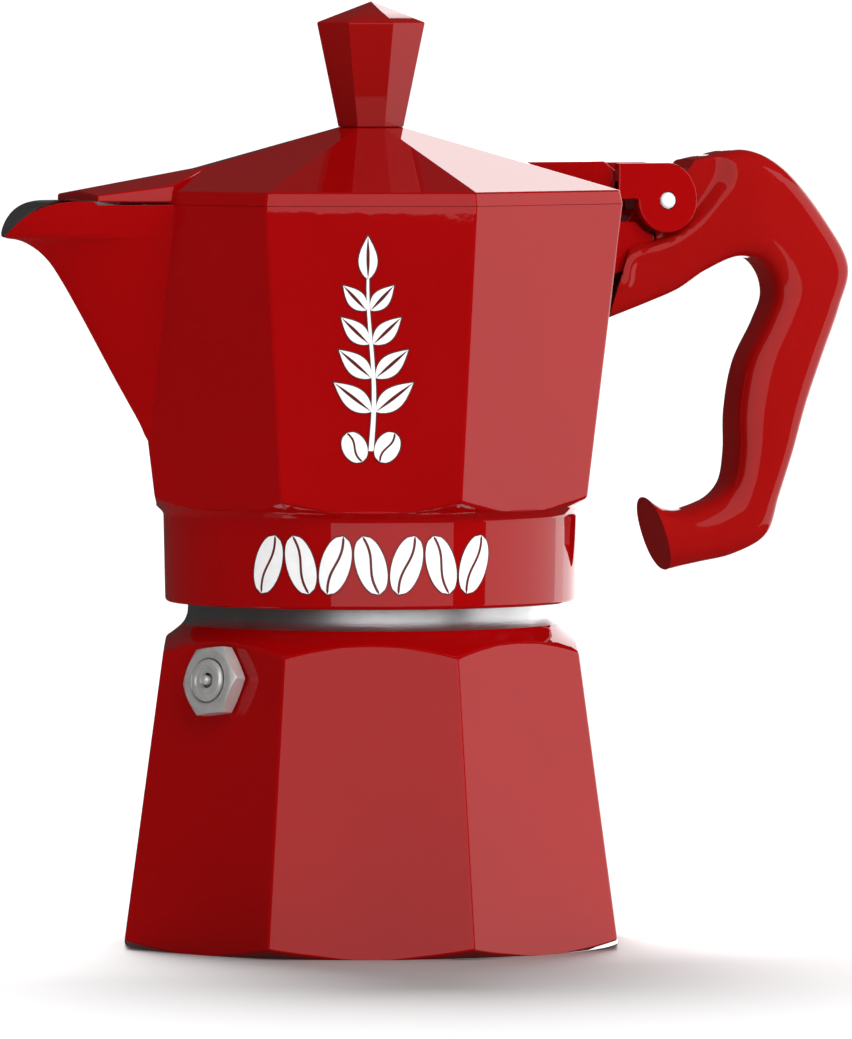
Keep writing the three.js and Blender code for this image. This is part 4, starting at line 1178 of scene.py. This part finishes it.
def bean_row(grow):
    """Seven coffee beans round the front of the collar, leaning to and fro."""
    sheets = []
    for k in range(-3, 4):
        sheets += bean((5.9 * k, 64.95), 5.0, 2.45, 16 if k % 2 else -16, grow)
    return sheets


def marks():
    """Each mark twice: a dark copy, grown a little, as painted shadow along its edge, and the white print
    over it.
    """
    under, over = 0.02, 0.06  # how far each print starts off the wall
    # painted shadow: the grown dark copies stand in for the shade along each mark's edge
    printed("emblem_painted_shadow", branch(0.22), on_facet, under, PAINTED_SHADOW_INK)
    printed("emblem_branch", branch(0), on_facet, over, WHITE_INK)
    printed("collar_painted_shadow", bean_row(0.2), on_collar, under, PAINTED_SHADOW_INK)
    printed("collar_beans", bean_row(0), on_collar, over, WHITE_INK)


# ------------------------------ camera, floor and light

SKY_SEEN, SKY_LIGHT, SKY_MIRRORED = 1.05, 0.32, 0.04  # brightness of the white world for each kind of ray
CARD_MIDDLE = 80  # height that the reflected sheets' elevations are counted from


def camera():
    """A long lens, a little above the chamber and square to its front facet."""
    place = Vector((-846.9, -2044.5, 164.6)) * MM
    aim = Vector((8.54, -3.54, 71.1)) * MM
    data = bpy.data.cameras.new("camera")
    data.lens = 456.7
    data.sensor_fit = "VERTICAL"
    data.sensor_height = 36
    data.clip_end = 50
    thing = bpy.data.objects.new("camera", data)
    thing.location = place
    thing.rotation_euler = (aim - place).to_track_quat("-Z", "Y").to_euler()
    bpy.context.scene.collection.objects.link(thing)
    bpy.context.scene.camera = thing


def floor():
    """A wide sheet of white paper, which the enamel doesn't mirror."""
    bpy.ops.mesh.primitive_plane_add(size=12, location=(0, 0, 0))
    ground = bpy.context.object
    ground.name = "floor"
    n = Nodes("floor_paper")
    n.set(specular=0.2)
    paper = n.between_colours(n.noise(3, 3), (0.90, 0.90, 0.90), (0.92, 0.92, 0.92))
    n.link(paper, n.shader.inputs["Base Color"])
    n.link(n.spread(n.noise(60, 3), 0.75, 0.85), n.shader.inputs["Roughness"])
    ground.data.materials.append(n.material)
    ground.visible_glossy = False
    return ground


def world():
    """White where the camera sees it, grey where it lights, nearly black where it is mirrored."""
    studio = bpy.data.worlds.new("studio")
    studio.use_nodes = True
    tree = studio.node_tree
    path = tree.nodes.new("ShaderNodeLightPath")
    strength = None
    for ray, brightness in (("Is Camera Ray", SKY_SEEN), ("Is Diffuse Ray", SKY_LIGHT)):
        step = tree.nodes.new("ShaderNodeMath")
        step.operation = "MULTIPLY_ADD"
        step.inputs[1].default_value = brightness
        step.inputs[2].default_value = SKY_MIRRORED
        tree.links.new(path.outputs[ray], step.inputs[0])
        if strength:
            tree.links.new(strength, step.inputs[2])
        strength = step.outputs[0]
    background = tree.nodes["Background"]
    background.inputs["Color"].default_value = (1, 1, 1, 1)
    tree.links.new(strength, background.inputs["Strength"])
    bpy.context.scene.world = studio


def sun(name, azimuth, elevation, strength, spread, ground, on_ground):
    """A very wide soft light from far away that lights only the ground, or everything but the ground."""
    data = bpy.data.lights.new(name, "SUN")
    data.energy = strength
    data.angle = radians(spread)
    thing = bpy.data.objects.new(name, data)
    lit = bpy.data.collections.new(name)
    lit.objects.link(ground)
    lit.collection_objects[0].light_linking.link_state = "INCLUDE" if on_ground else "EXCLUDE"
    thing.light_linking.receiver_collection = lit
    a, e = radians(azimuth), radians(elevation)
    way = Vector((cos(a) * cos(e), sin(a) * cos(e), sin(e)))
    thing.rotation_euler = way.to_track_quat("Z", "Y").to_euler()
    thing.visible_glossy = False
    bpy.context.scene.collection.objects.link(thing)


def card(name, start, end, low, high, distance, glow):
    """An upright glowing sheet, seen only in reflections, between two azimuths and two elevations."""
    middle, half = radians((start + end) / 2), radians((end - start) / 2)
    points = []
    for side, height in ((-1, low), (1, low), (1, high), (-1, high)):
        across = side * distance * tan(half)
        points.append((distance * cos(middle) - across * sin(middle),
                       distance * sin(middle) + across * cos(middle),
                       CARD_MIDDLE + distance * tan(radians(height))))
    sheet = mesh_object(name, points, [(0, 1, 2, 3)])
    n = Nodes(name)
    n.set(specular=0)
    n.shader.inputs["Base Color"].default_value = (0, 0, 0, 1)
    n.shader.inputs["Emission Color"].default_value = (1, 1, 1, 1)
    n.shader.inputs["Emission Strength"].default_value = glow
    sheet.data.materials.append(n.material)
    sheet.visible_camera = False
    sheet.visible_diffuse = False
    sheet.visible_shadow = False


def lights(ground):
    """A window on the pot, a light that throws its shadow, and sheets that the enamel mirrors."""
    sun("window", 286, 34, 3.05, 60, ground, False)
    sun("paper_light", 74, 45, 4.4, 40, ground, True)
    card("card_front", 226, 295, -9, 40, 500, 0.9)
    card("card_right", 314, 372, -22, 28, 2500, 1.3)
    card("card_behind", 372, 427, -22, 27, 2500, 2.2)


camera()
world()
lights(floor())
boiler()
valve()
upper_chamber()
lid()
knob()
handle()
hinge_pin()
filters()
funnel()
paint_nodes()
marks()

bpy.context.scene.view_settings.view_transform = "Standard"
